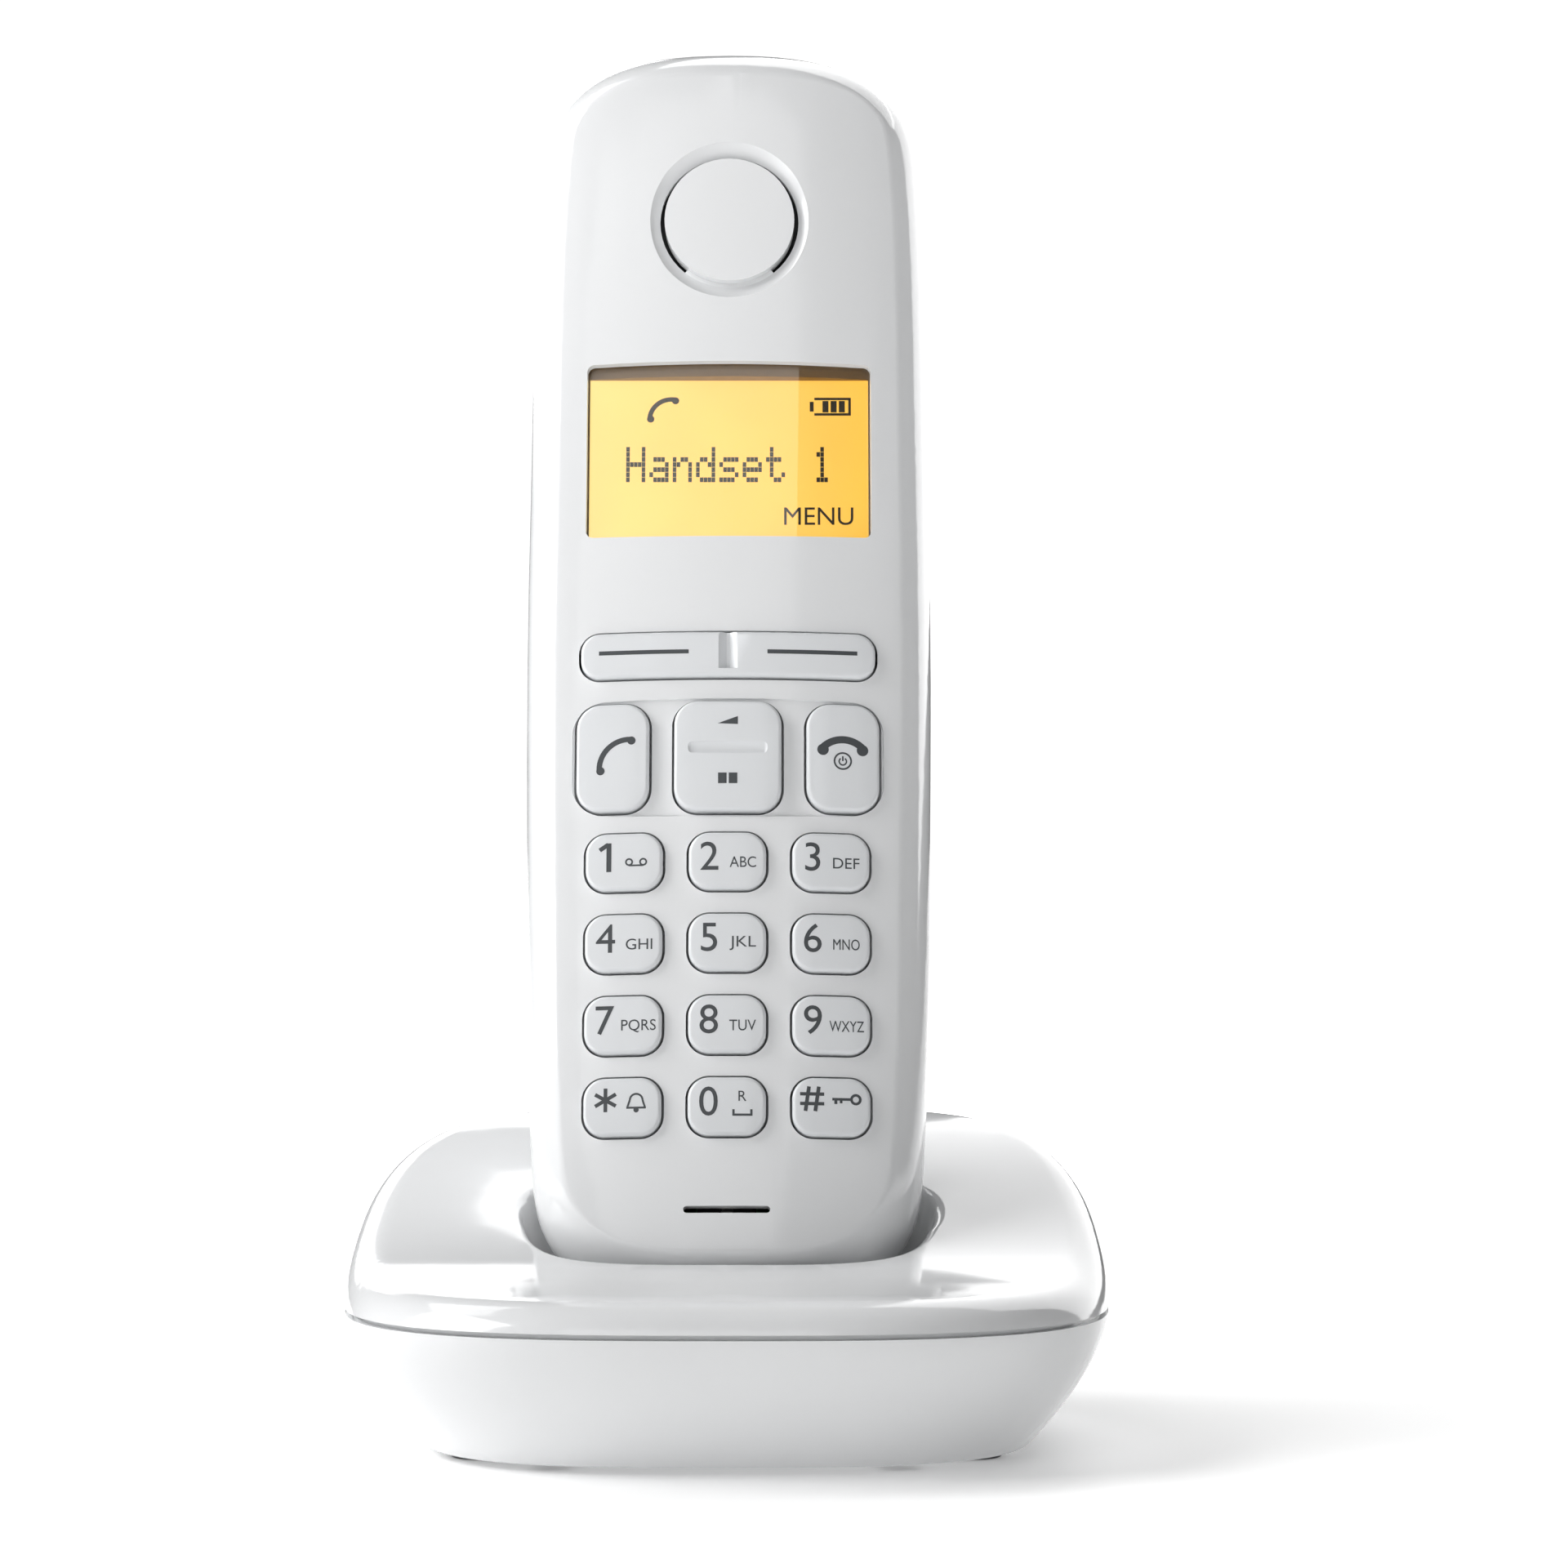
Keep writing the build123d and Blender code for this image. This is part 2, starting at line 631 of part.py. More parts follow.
def under_saddle(inset):
    """Everything below the base's top, which is level in front and rises behind the handset."""
    heights = ((-50, 19.3), (-36, 19.6), (-18, 21.2), (-2, 25.8), (14, 31.0), (28, 34.6), (40, 35.6), (52, 35.2))
    top = Spline(*[(0, y, z - inset) for y, z in heights])
    first = (0, -50, 19.3 - inset)
    last = (0, 52, 35.2 - inset)
    rear = Line(last, (0, 52, -9))
    floor = Line((0, 52, -9), (0, -50, -9))
    front = Line((0, -50, -9), first)
    profile = Face(Wire([top, rear, floor, front]))
    return extrude(profile, 60, dir=(1, 0, 0)) + extrude(profile, 60, dir=(-1, 0, 0))


CRADLE = (
    (-1.0, 9.5, 5.6, 17.2), (0.3, 13.0, 3.4, 19.0), (2.0, 16.3, 1.4, 19.9), (4.2, 19.0, 0.1, 20.6),
    (7.0, 21.4, -0.7, 21.1), (10.5, 23.1, -1.0, 21.5), (15.0, 23.9, -1.05, 21.9), (21.0, 24.2, -1.05, 22.5),
    (28.0, 24.4, -1.05, 23.1), (36.0, 24.5, -1.05, 23.7), (45.0, 24.6, -1.05, 24.3),
)                         # height, half width, front and back of the cradle, round the handset's bottom end


def cradle(grow):
    rings = []
    for height, half, front, back in CRADLE:
        deep = (back - front) / 2 + grow
        rings.append(oval(half + grow, deep, height - grow, 4.0, (front + back) / 2))
    return DOCK * loft(rings)


def lower_inset(z):
    rise = (z - FOOT) / (BASE_SEAM - FOOT)
    return 8.7 * max(1 - rise, 0) ** 1.6, 11.2 * max(1 - rise, 0) ** 1.6


def lower_bowl(inset, z_low, z_high):
    rings = []
    for step in range(7):
        z = z_low + (z_high - z_low) * step / 6
        side, front = lower_inset(z)
        rings.append(oval(BASE_HALF_WIDTH - side - inset, BASE_HALF_DEPTH - front - inset, z, 3.0))
    return loft(rings)


def straight_ring(inset, z_low, z_high):
    outline = oval(BASE_HALF_WIDTH - inset, BASE_HALF_DEPTH - inset, z_low, 3.0)
    return extrude(outline, z_high - z_low, dir=(0, 0, 1))


# =============================== base shells ===============================

BASE_SCREWS = ((-19.0, -27.0), (19.0, -27.0), (-19.0, 28.0), (19.0, 28.0))
FEET = ((-27.0, -17.0), (27.0, -17.0), (-27.0, 18.0), (27.0, 18.0))
PAGE_Z = 24.0
PAGE_W = 12.0
PAGE_H = 6.0
BASE_BOARD_LOW = 3.2
BASE_BOARD_HIGH = 4.6
JACK_X = 8.4
JACK_FRONT = 22.4
JACK_FACE = 34.4


def cradle_rim(whole):
    rim = []
    for edge in whole.edges():
        box = edge.bounding_box()
        if box.min.Z > 20.5 and box.max.Z < 31 and box.min.Y > -20 and box.max.Y < 12:
            rim.append(edge)
    return rim


def upper_outer():
    """The upper form with the cradle sunk in it, and a block below for the cradle's underside."""
    whole = base_dome(0) & under_saddle(0)
    crease = [edge for edge in whole.edges() if edge.bounding_box().min.Z > 18 and edge.bounding_box().size.X > 20]
    whole = fillet(crease, SHOULDER) + block(-30, 30, -34, 34, 2, 17)
    whole = whole - cradle(0)
    return fillet(cradle_rim(whole), RIM_ROUND)


def upper_posts():
    return join([post(x, y, 3.0, 4.9, 50.0) for x, y in BASE_SCREWS])


def page_ribs():
    ribs = block(7.0, 8.2, 32.0, 60, 17.8, 31) + block(-8.2, -7.0, 32.0, 60, 17.8, 31)
    return ribs + block(-8.2, 8.2, 32.0, 60, 29.8, 31)


def page_outline(grow, y_low, y_high):
    outline = face_plane(0, PAGE_Z, y_high) * RectangleRounded(PAGE_W + 2 * grow, PAGE_H + 2 * grow, 2.99 + grow)
    return extrude(outline, y_high - y_low)


def upper_shell():
    room = (base_dome(BASE_WALL) & under_saddle(BASE_WALL)) + block(-32, 32, -36, 36, 1, 17.2)
    room = room - cradle(BASE_WALL) - upper_posts() - page_ribs()
    shell = upper_outer() - room
    shell = shell - (straight_ring(0.85, 10, 17.6) - straight_ring(4, 9, 18))
    slots = [block(x - TONGUE_W / 2 - SLOT_GAP, x + TONGUE_W / 2 + SLOT_GAP, 9.6, 19.2, -6, 3) for x in (-9, 9)]
    shell = shell - DOCK * join(slots)
    ribs = block(3.2, 4.8, 8.5, 13.5, -1.6, -0.3) + block(-4.8, -3.2, 8.5, 13.5, -1.6, -0.3)
    shell = shell + DOCK * ribs
    pilots = join([post(x, y, 1.1, 4, 12) for x, y in BASE_SCREWS])
    return shell - pilots - page_outline(0.3, 36, 50)


def jack_bay(grow):
    return block(-17 - grow, 17 + grow, JACK_FACE + 1.8 - grow, 60, 3.0 - grow, 13.6 + grow)


def jack_places():
    line = block(-JACK_X - 5.6, -JACK_X + 5.6, JACK_FACE - 1, JACK_FACE + 3, 4.4, 12.6)
    supply = Pos(JACK_X, JACK_FACE, 8.6) * Rot(90, 0, 0) * Cylinder(3.6, 8)
    return line + supply


def lower_shell():
    outer = lower_bowl(0, FOOT, BASE_SEAM - REVEAL / 2)
    foot_edge = [edge for edge in outer.edges() if edge.bounding_box().max.Z < FOOT + 0.1]
    outer = fillet(foot_edge, 1.2)
    shell = outer - lower_bowl(BASE_WALL, FOOT + 1.6, BASE_SEAM + 0.5)
    lip = straight_ring(0.95, BASE_SEAM - 1.5, 17.4) - straight_ring(BASE_WALL, 9, 19)
    shell = shell + lip
    bay = jack_bay(BASE_WALL) & lower_bowl(0.5, FOOT + 0.2, BASE_SEAM - REVEAL / 2)
    shell = shell + bay - jack_bay(0) - jack_places()
    seats = join([post(x, y, 3.6 + NEST_GAP, 0, 1.5) for x, y in FEET])
    under = join([post(x, y, 3.7, FOOT + 0.2, 2.6) for x, y in FEET])
    shell = shell + (under & lower_bowl(0.6, FOOT, 10)) - seats
    heads = join([post(x, y, 2.3, 0, 1.7) for x, y in BASE_SCREWS])
    holes = join([post(x, y, 1.5, 0, 5) for x, y in BASE_SCREWS])
    stands = join([post(x, y, 2.0, 2.2, BASE_BOARD_LOW) for x, y in BOARD_STANDS])
    return shell + stands - heads - holes


BOARD_STANDS = ((-25.0, -8.0), (25.0, -8.0), (-25.0, 8.0), (25.0, 8.0))


# =============================== inside the base ===============================

def base_board():
    outline = block(-29, 29, -24, JACK_FACE - 0.4, BASE_BOARD_LOW, BASE_BOARD_HIGH)
    outline = fillet(outline.edges().filter_by(Axis.Z), 4.0)
    outline = outline & lower_bowl(BASE_WALL + 0.6, FOOT + 1.6, BASE_SEAM + 0.5)
    return outline - join([post(x, y, 3.4, 2, 6) for x, y in BASE_SCREWS])


def line_jack():
    """The telephone line socket: a square mouth with a step for the plug's clip."""
    body = block(-JACK_X - 6.0, -JACK_X + 6.0, JACK_FRONT, JACK_FACE, BASE_BOARD_HIGH, 13.0)
    mouth = block(-JACK_X - 4.85, -JACK_X + 4.85, JACK_FRONT + 2.5, 40, 5.9, 12.0)
    step = block(-JACK_X - 3.0, -JACK_X + 3.0, JACK_FRONT + 4.5, 40, 5.2, 6.2)
    return body - mouth - step


def line_jack_wires():
    wires = []
    for step in (-1.5, -0.5, 0.5, 1.5):
        x = -JACK_X + step * 1.27
        low = (0, JACK_FRONT + 2.5, 11.2)
        line = Polyline((x, low[1], 11.9), (x, low[1], 11.5), (x, low[1] + 7.5, 10.4), (x, low[1] + 7.5, 10.8), close=True)
        wires.append(extrude(Face(Wire(line.edges())), 0.25, dir=(1, 0, 0), both=True))
    return join(wires)


def supply_jack():
    """The round socket for the power plug."""
    body = block(JACK_X - 4.6, JACK_X + 4.6, JACK_FRONT, JACK_FACE, BASE_BOARD_HIGH, 13.0)
    return body - Pos(JACK_X, JACK_FACE, 8.6) * Rot(90, 0, 0) * Cylinder(3.0, 20)


def supply_pin():
    pin = Cylinder(1.0, 8.4, align=(Align.CENTER, Align.CENTER, Align.MIN))
    pin = fillet(pin.edges().sort_by(Axis.Z)[-1], 0.5)
    return Pos(JACK_X, JACK_FRONT + 2.0, 8.6) * Rot(-90, 0, 0) * pin


def base_shield():
    can = block(-18, 4, -22, -8, BASE_BOARD_HIGH, 7.0)
    can = fillet(can.edges().filter_by(Axis.Z), 1.0)
    return can - block(-17.7, 3.7, -21.7, -8.3, BASE_BOARD_HIGH - 1, 6.7)


def base_antennas():
    """Two bent strips, one at each front corner of the board."""
    pieces = []
    for side in (-1, 1):
        x = 24.0 * side
        leg = block(x - 1, x + 1, -21.5, -21.1, BASE_BOARD_HIGH, 11.0)
        arm = block(min(x - side, x - 14 * side), max(x - side, x - 14 * side) + 0, -21.5, -21.1, 9.4, 11.0)
        pieces.append(leg + arm + block(x - 1.5, x + 1.5, -21.5, -20.0, BASE_BOARD_HIGH, BASE_BOARD_HIGH + 0.4))
    return join(pieces)


def base_capacitor():
    can = post(24.0, -2.0, 4.0, BASE_BOARD_HIGH, 15.0)
    return fillet(can.edges().sort_by(Axis.Z)[-1], 0.6)


def base_screws():
    screws = []
    for x, y in BASE_SCREWS:
        head = post(x, y, 2.15, 0.9, 1.7)
        shank = post(x, y, 1.1, 1.6, 10.0)
        cross = block(x - 1.3, x + 1.3, y - 0.25, y + 0.25, 0.5, 1.3) + block(x - 0.25, x + 0.25, y - 1.3, y + 1.3, 0.5, 1.3)
        screws.append(head + shank - cross)
    return join(screws)


def base_feet():
    return join([fillet(post(x, y, 3.6, 0.0, 1.5).edges().sort_by(Axis.Z)[0], 0.4) for x, y in FEET])


def contact_carrier():
    """The moulded carrier under the cradle that holds the two charging tongues on pins."""
    deck = block(-12.5, 12.5, 16.5, 22.6, -6.4, -5.3)
    cheeks = []
    for x in (-TONGUE_X, TONGUE_X):
        for side in (-1, 1):
            near = x + side * (TONGUE_W / 2 + 0.25)
            far = near + side * 0.95
            cheeks.append(block(min(near, far), max(near, far), 18.8, 21.2, -5.4, -3.35))
        pin = Pos(x, CURL_V, CURL_U) * Rot(0, 90, 0) * Cylinder(0.4, TONGUE_W + 1.6)
        cheeks.append(pin)
    body = DOCK * (deck + join(cheeks))
    legs = block(8.5, 12.5, -1.5, 2.5, BASE_BOARD_HIGH, 6.3) + block(-12.5, -8.5, -1.5, 2.5, BASE_BOARD_HIGH, 6.3)
    return body + legs


def ribbon(points, thick, x_low, x_high):
    """A strip bent along a smooth line of depth and height."""
    upper = []
    lower = []
    for index, (v, u) in enumerate(points):
        before = points[max(index - 1, 0)]
        after = points[min(index + 1, len(points) - 1)]
        dv = after[0] - before[0]
        du = after[1] - before[1]
        size = math.hypot(dv, du)
        upper.append((x_low, v - du / size * thick / 2, u + dv / size * thick / 2))
        lower.append((x_low, v + du / size * thick / 2, u - dv / size * thick / 2))
    one = Spline(*upper)
    two = Spline(*lower)
    outline = Wire([one, Line(upper[-1], lower[-1]), two, Line(lower[0], upper[0])])
    return extrude(Face(outline), x_high - x_low, dir=(1, 0, 0))


def charge_tongue(x):
    """A sprung tongue: a curl on its pin, a rising arm and a rounded crest under the handset's plate."""
    half = TONGUE_W / 2
    curl = Pos(x, CURL_V, CURL_U) * Rot(0, 90, 0) * (Cylinder(CURL_R, TONGUE_W) - Cylinder(0.46, TONGUE_W + 1))
    line = ((20.0, CURL_U + CURL_R - 0.15), (17.6, -2.25), (15.4, -0.75), (14.3, 0.0), (13.5, 0.2), (12.7, 0.0), (11.9, -0.75))
    return curl + ribbon(line, 0.3, x - half, x + half)


def page_key():
    body = page_outline(0, 39.6, 48) & base_dome(-0.6)
    edge = [item for item in body.edges() if item.bounding_box().min.Y > 43]
    body = fillet(edge, 0.5)
    flange = block(-6.8, 6.8, 38.8, 39.6, PAGE_Z - 4.2, PAGE_Z + 4.2)
    stem = Pos(0, 38.8, PAGE_Z) * Rot(90, 0, 0) * Cylinder(1.2, 0.6, align=(Align.CENTER, Align.CENTER, Align.MIN))
    return body + flange + stem


def page_board():
    return block(-6.9, 6.9, 33.0, 34.2, 18.0, 29.6)


def page_switch():
    body = block(-3.0, 3.0, 34.2, 36.4, PAGE_Z - 3.0, PAGE_Z + 3.0)
    nose = Pos(0, 36.4, PAGE_Z) * Rot(-90, 0, 0) * Cylinder(1.5, 0.6, align=(Align.CENTER, Align.CENTER, Align.MIN))
    return body + nose


# =============================== write every piece ===============================

def main():
    os.makedirs("parts", exist_ok=True)
    save("handset_front_shell", front_shell(), docked=True)
    save("handset_rear_shell", rear_shell(), docked=True)
    save("battery_cover", battery_cover(), docked=True)
    save("display_window", window_lens(), docked=True)
    glass, light = display_stack()
    save("lcd_panel", glass, docked=True)
    save("lcd_backlight", light, docked=True)
    save("lcd_ribbon", display_ribbon(), docked=True)
    save("earpiece_speaker", earpiece(), docked=True)
    save("earpiece_gasket", earpiece_gasket(), docked=True)
    save("microphone", microphone(), docked=True)
    save("microphone_boot", microphone_boot(), docked=True)
    save("handset_board", handset_board(), docked=True)
    save("dome_film", dome_film(), docked=True)
    save("keypad_mat", keypad_mat(), docked=True)
    save("radio_shield", radio_shield(), docked=True)
    save("ringer_speaker", ringer(), docked=True)
    save("battery_cell_1", cell(-CELL_X, False), docked=True)
    save("battery_cell_2", cell(CELL_X, True), docked=True)
    save("battery_plates", battery_plates(), docked=True)
    low_spring = coil(-CELL_X, BAY_LOW_PLATE + 0.3, CELL_FOOT - 0.3, 1.5)
    save("battery_springs", low_spring, docked=True)
    save("handset_charge_plates", charge_plates(), docked=True)
    save("handset_screws", handset_screws(), docked=True)
    for name, x, z in digit_places():
        save(name, digit_key(x, z), docked=True)
    save("talk_key", call_key(-CALL_X), docked=True)
    save("end_key", call_key(CALL_X), docked=True)
    save("control_key", control_key(), docked=True)
    save("display_key_bar", display_key_bar(), docked=True)
    save("base_upper_shell", upper_shell())
    save("base_lower_shell", lower_shell())
    save("base_board", base_board())
    save("line_jack", line_jack())
    save("line_jack_wires", line_jack_wires())
    save("power_jack", supply_jack())
    save("power_jack_pin", supply_pin())
    save("base_shield", base_shield())
    save("base_antennas", base_antennas())
    save("base_capacitor", base_capacitor())
    save("base_screws", base_screws())
    save("base_feet", base_feet())
    save("contact_carrier", contact_carrier())
    save("charge_tongue_left", charge_tongue(-TONGUE_X), docked=True)
    save("charge_tongue_right", charge_tongue(TONGUE_X), docked=True)
    save("page_key", page_key())
    save("page_board", page_board())
    save("page_switch", page_switch())


main()
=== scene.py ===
# %% [markdown]
# # A cordless phone in its charging base
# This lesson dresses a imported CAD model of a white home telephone.  The CAD gives every solid its
# true shape and place, so no solid is moved or reshaped here.  Blender adds what the CAD leaves
# out: smooth skins, printed legends, the lit display, finishes and light.

# %% Load the fixed frame
import json
import math
import bmesh
import bpy
from mathutils import Matrix, Vector

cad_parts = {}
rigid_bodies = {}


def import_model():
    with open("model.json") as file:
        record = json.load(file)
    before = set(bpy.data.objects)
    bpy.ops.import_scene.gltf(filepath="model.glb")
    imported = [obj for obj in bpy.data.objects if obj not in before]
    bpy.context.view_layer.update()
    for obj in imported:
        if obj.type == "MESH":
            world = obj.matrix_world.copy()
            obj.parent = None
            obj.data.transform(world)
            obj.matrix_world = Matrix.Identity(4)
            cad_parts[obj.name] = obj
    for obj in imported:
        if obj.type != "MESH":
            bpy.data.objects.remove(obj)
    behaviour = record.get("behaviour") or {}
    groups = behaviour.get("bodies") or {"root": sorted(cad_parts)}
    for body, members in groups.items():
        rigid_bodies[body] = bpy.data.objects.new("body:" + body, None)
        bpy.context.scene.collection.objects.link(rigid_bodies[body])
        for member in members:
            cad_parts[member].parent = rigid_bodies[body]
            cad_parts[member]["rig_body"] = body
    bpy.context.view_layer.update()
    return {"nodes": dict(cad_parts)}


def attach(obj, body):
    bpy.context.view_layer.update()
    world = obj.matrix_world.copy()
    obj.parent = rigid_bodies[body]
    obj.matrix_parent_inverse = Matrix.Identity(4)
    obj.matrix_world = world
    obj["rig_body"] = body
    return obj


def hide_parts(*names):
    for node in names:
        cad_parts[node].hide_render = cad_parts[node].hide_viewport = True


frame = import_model()
nodes = frame["nodes"]
MM = 0.001
print("CAD nodes:", len(nodes))

# %% [markdown]
# The handset leans back in its cradle.  Its print could be drawn leaning from the start, but a
# flat drawing is easier to read: x runs across, depth goes in behind the face, and height runs up
# along it.  One matrix then leans every finished piece into place.

# %% The leaning frame of the handset
LEAN = math.radians(-15)
FOOT_OF_HANDSET = Vector((0, -17.4, 17.1)) * MM
LEANING = Matrix.Translation(FOOT_OF_HANDSET) @ Matrix.Rotation(LEAN, 4, "X")
FACE_RADIUS = 105.0  # mm, the crown of the face from side to side


def crown(x, proud=0.0):
    """Depth in mm of the crowned face at x, or of a surface standing `proud` of it."""
    return FACE_RADIUS - math.sqrt((FACE_RADIUS + proud) ** 2 - x * x)


print("face falls back", round(crown(20), 2), "mm at 20 mm from the middle")

# %% [markdown]
# Colours are written as the sRGB hex values a designer would quote, and one function turns them
# linear, because a shader adds light in linear values.  Another small function adds a shader node
# with its settings and links, so that a material reads like a recipe instead of a page of wiring.

# %% Colour and node helpers


def colour(code):
    """Turns an sRGB hex value into linear red, green, blue and alpha."""
    channels = [int(code[i:i + 2], 16) / 255 for i in (1, 3, 5)]
    linear = [c / 12.92 if c <= 0.04045 else ((c + 0.055) / 1.055) ** 2.4 for c in channels]
    return (*linear, 1.0)


def add(tree, kind, settings=None, links=None, **attributes):
    """Adds one shader node: its attributes, the values of its inputs, and the sockets that feed them."""
    node = tree.nodes.new(kind)
    for name, value in attributes.items():
        setattr(node, name, value)
    for name, value in (settings or {}).items():
        node.inputs[name].default_value = value
    for name, socket in (links or {}).items():
        tree.links.new(socket, node.inputs[name])
    return node


def new_material(name):
    material = bpy.data.materials.new(name)
    material.use_nodes = True
    material.node_tree.nodes.clear()
    return material, material.node_tree


def finish_material(tree, shader):
    add(tree, "ShaderNodeOutputMaterial", links={"Surface": shader.outputs[0]})


print("white in linear light:", colour("#FFFFFF"))

# %% [markdown]
# Most of the phone is moulded plastic.  A steel mould leaves a faint long-wave ripple, called
# orange peel, and handling leaves slight changes of gloss.  Painted maps could hold both, but
# noise on object coordinates keeps one real size on every piece.  Both are weak: they only break
# up the reflections.

# %% A recipe for moulded plastic
PATCH_MM = 14  # spacing of the patches that hands have left duller or brighter
PLASTIC_IOR = 1.53


def moulded(name, base, roughness, ripple_mm, ripple, haze=0.03, tone=0.02):
    """Moulded plastic with a ripple `ripple` mm high every `ripple_mm`; haze and tone vary by patch."""
    material, tree = new_material(name)
    place = add(tree, "ShaderNodeTexCoord").outputs["Object"]
    patches = add(tree, "ShaderNodeTexNoise", {"Scale": 1 / (PATCH_MM * MM), "Detail": 3.0},
                  {"Vector": place})
    gloss = add(tree, "ShaderNodeMapRange", {"To Min": roughness - haze, "To Max": roughness + haze},
                {"Value": patches.outputs["Fac"]})
    light = colour(base)
    dark = tuple(c * (1 - tone) for c in light[:3]) + (1.0,)
    tint = add(tree, "ShaderNodeMix", links={0: patches.outputs["Fac"]}, data_type="RGBA")
    tint.inputs[6].default_value = dark
    tint.inputs[7].default_value = light
    peel = add(tree, "ShaderNodeTexNoise", {"Scale": 1 / (ripple_mm * MM), "Detail": 2.0},
               {"Vector": place})
    bump = add(tree, "ShaderNodeBump", {"Strength": 1.0, "Distance": ripple * MM},
               {"Height": peel.outputs["Fac"]})
    shader = add(tree, "ShaderNodeBsdfPrincipled", {"IOR": PLASTIC_IOR},
                 {"Base Color": tint.outputs[2], "Roughness": gloss.outputs[0],
                  "Normal": bump.outputs[0]})
    finish_material(tree, shader)
    return material


print("moulded plastic: index of refraction", PLASTIC_IOR)

# %% [markdown]
# The outside is white ABS, the usual plastic of telephones, because it fills thin walls and takes
# a polish.  Three moulds give it three finishes, and small black, grey and brown pieces set it
# off.  One recipe with different numbers is enough, since only colour, gloss and ripple tell them
# apart.

# %% Plastics that show
# ABS from a polished mould: the housings mirror the studio in clear, soft-edged bands.
GLOSS_ABS = moulded("abs_high_gloss_white", "#E9EAEB", 0.10, 3.0, 0.0010, haze=0.02)
# The same ABS from a second mould: a touch duller, so the battery cover reads as its own piece.
COVER_ABS = moulded("abs_high_gloss_white_cover", "#E8E9EA", 0.12, 3.0, 0.0010, haze=0.02)
# ABS from a satin mould: the keys blur what the housing mirrors, and so stand out from it.
KEY_ABS = moulded("abs_satin_key_white", "#E3E5E7", 0.30, 1.2, 0.002)
# Glass-filled PBT, moulded matt: the sockets look like dark hollows with dull edges.
BLACK_PBT = moulded("pbt_socket_black", "#1B1C1E", 0.42, 0.6, 0.004)
# Moulded rubber: the feet are dry dark grey, with no clear highlight.
FOOT_RUBBER = moulded("rubber_feet_grey", "#4A4C4E", 0.72, 0.4, 0.01)
# Pad-printed ink: matt dark grey, which stays dark where the key below it shines.
INK = moulded("pad_print_ink_grey", "#45484B", 0.45, 0.5, 0.002)
# Die-cut gasket behind the window: its brown is painted shade, warmed by the amber it frames.
GASKET_PAINTED_SHADE = moulded("display_gasket_painted_shade", "#9A7B55", 0.6, 0.8, 0.004)
print("plastics that show:", len(bpy.data.materials))

# %% [markdown]
# Inside lie boards, mats, films and sleeves, seen when the battery cover opens or through a slot.
# They could all be one grey, but each real one is known by its colour and sheen, and costs only a
# line.

# %% Plastics inside
# Natural nylon, moulded: a slightly yellow, waxy white under the charging contacts.
NYLON = moulded("nylon_carrier_natural", "#DDDCD3", 0.45, 0.8, 0.004)
# Silicone rubber, pressed in a mould: a soft dull grey under the keys.
SILICONE = moulded("silicone_keypad_mat", "#C9CBCD", 0.62, 0.5, 0.006)
# Foam with open cells, cut from sheet: black and grainy, with no shine.
FOAM = moulded("cellular_foam_black", "#161616", 0.85, 0.5, 0.03)
# Polycarbonate speaker frames: black with a broad, dull highlight.
SPEAKER_PLASTIC = moulded("speaker_frame_black", "#202123", 0.5, 0.7, 0.004)
# Opal polycarbonate: the display's light box is a warm white.
LIGHTBOX = moulded("polycarbonate_light_box", "#EDEDE6", 0.4, 1.0, 0.002)
# Solder resist on glass fibre: green, mottled by the cloth and copper below it.
BOARD_RESIST = moulded("solder_resist_green", "#1E5B37", 0.32, 0.9, 0.01, tone=0.25)
# Polyester film over the key domes: pale grey with a soft sheen.
FILM = moulded("polyester_dome_film", "#C6CACD", 0.3, 1.0, 0.002)
# Polyimide ribbon: amber and slightly glossy.
RIBBON = moulded("polyimide_ribbon_amber", "#B9772C", 0.3, 0.8, 0.003)
# Heat-shrunk sleeve on the rechargeable cells: tight, green and glossy.
CELL_SLEEVE = moulded("heat_shrink_cell_green", "#2E7D5B", 0.28, 1.5, 0.004)
# The same kind of sleeve on the capacitor, in navy.
CAP_SLEEVE = moulded("capacitor_sleeve_navy", "#1D2440", 0.3, 1.5, 0.003)
print("plastics:", len(bpy.data.materials))

# %% [markdown]
# Metal shows its making as fine scratches.  Anisotropic shading could give them, but a noise
# stretched along one axis draws the rolled or plated grain and survives export.  A metal keeps the
# default index of refraction, and its colour is its reflection.

# %% Metals
GRAIN_STRETCH = (0.06, 1.0, 1.0)  # the grain runs long across the object
GRAIN_DEPTH = 0.002  # mm


def metal(name, base, roughness, grain_mm):
    """Rolled or plated metal whose grain lines are `grain_mm` apart."""
    material, tree = new_material(name)
    place = add(tree, "ShaderNodeTexCoord").outputs["Object"]
    stretch = add(tree, "ShaderNodeMapping", {"Scale": GRAIN_STRETCH}, {"Vector": place})
    grain = add(tree, "ShaderNodeTexNoise", {"Scale": 1 / (grain_mm * MM), "Detail": 4.0},
                {"Vector": stretch.outputs[0]})
    gloss = add(tree, "ShaderNodeMapRange", {"To Min": roughness - 0.07, "To Max": roughness + 0.09},
                {"Value": grain.outputs["Fac"]})
    bump = add(tree, "ShaderNodeBump", {"Strength": 1.0, "Distance": GRAIN_DEPTH * MM},
               {"Height": grain.outputs["Fac"]})
    shader = add(tree, "ShaderNodeBsdfPrincipled", {"Base Color": colour(base), "Metallic": 1.0},
                 {"Roughness": gloss.outputs[0], "Normal": bump.outputs[0]})
    finish_material(tree, shader)
    return material


# Tinned steel, rolled: cans and antennas are grey, with a soft line of light along the grain.
TINPLATE = metal("tinned_steel_rolled", "#C9C8C4", 0.32, 0.5)
# Nickel-plated spring steel: brighter and slightly warm, at the ends of the cells.
SPRING = metal("nickel_plated_spring_steel", "#C4C2BC", 0.24, 0.4)
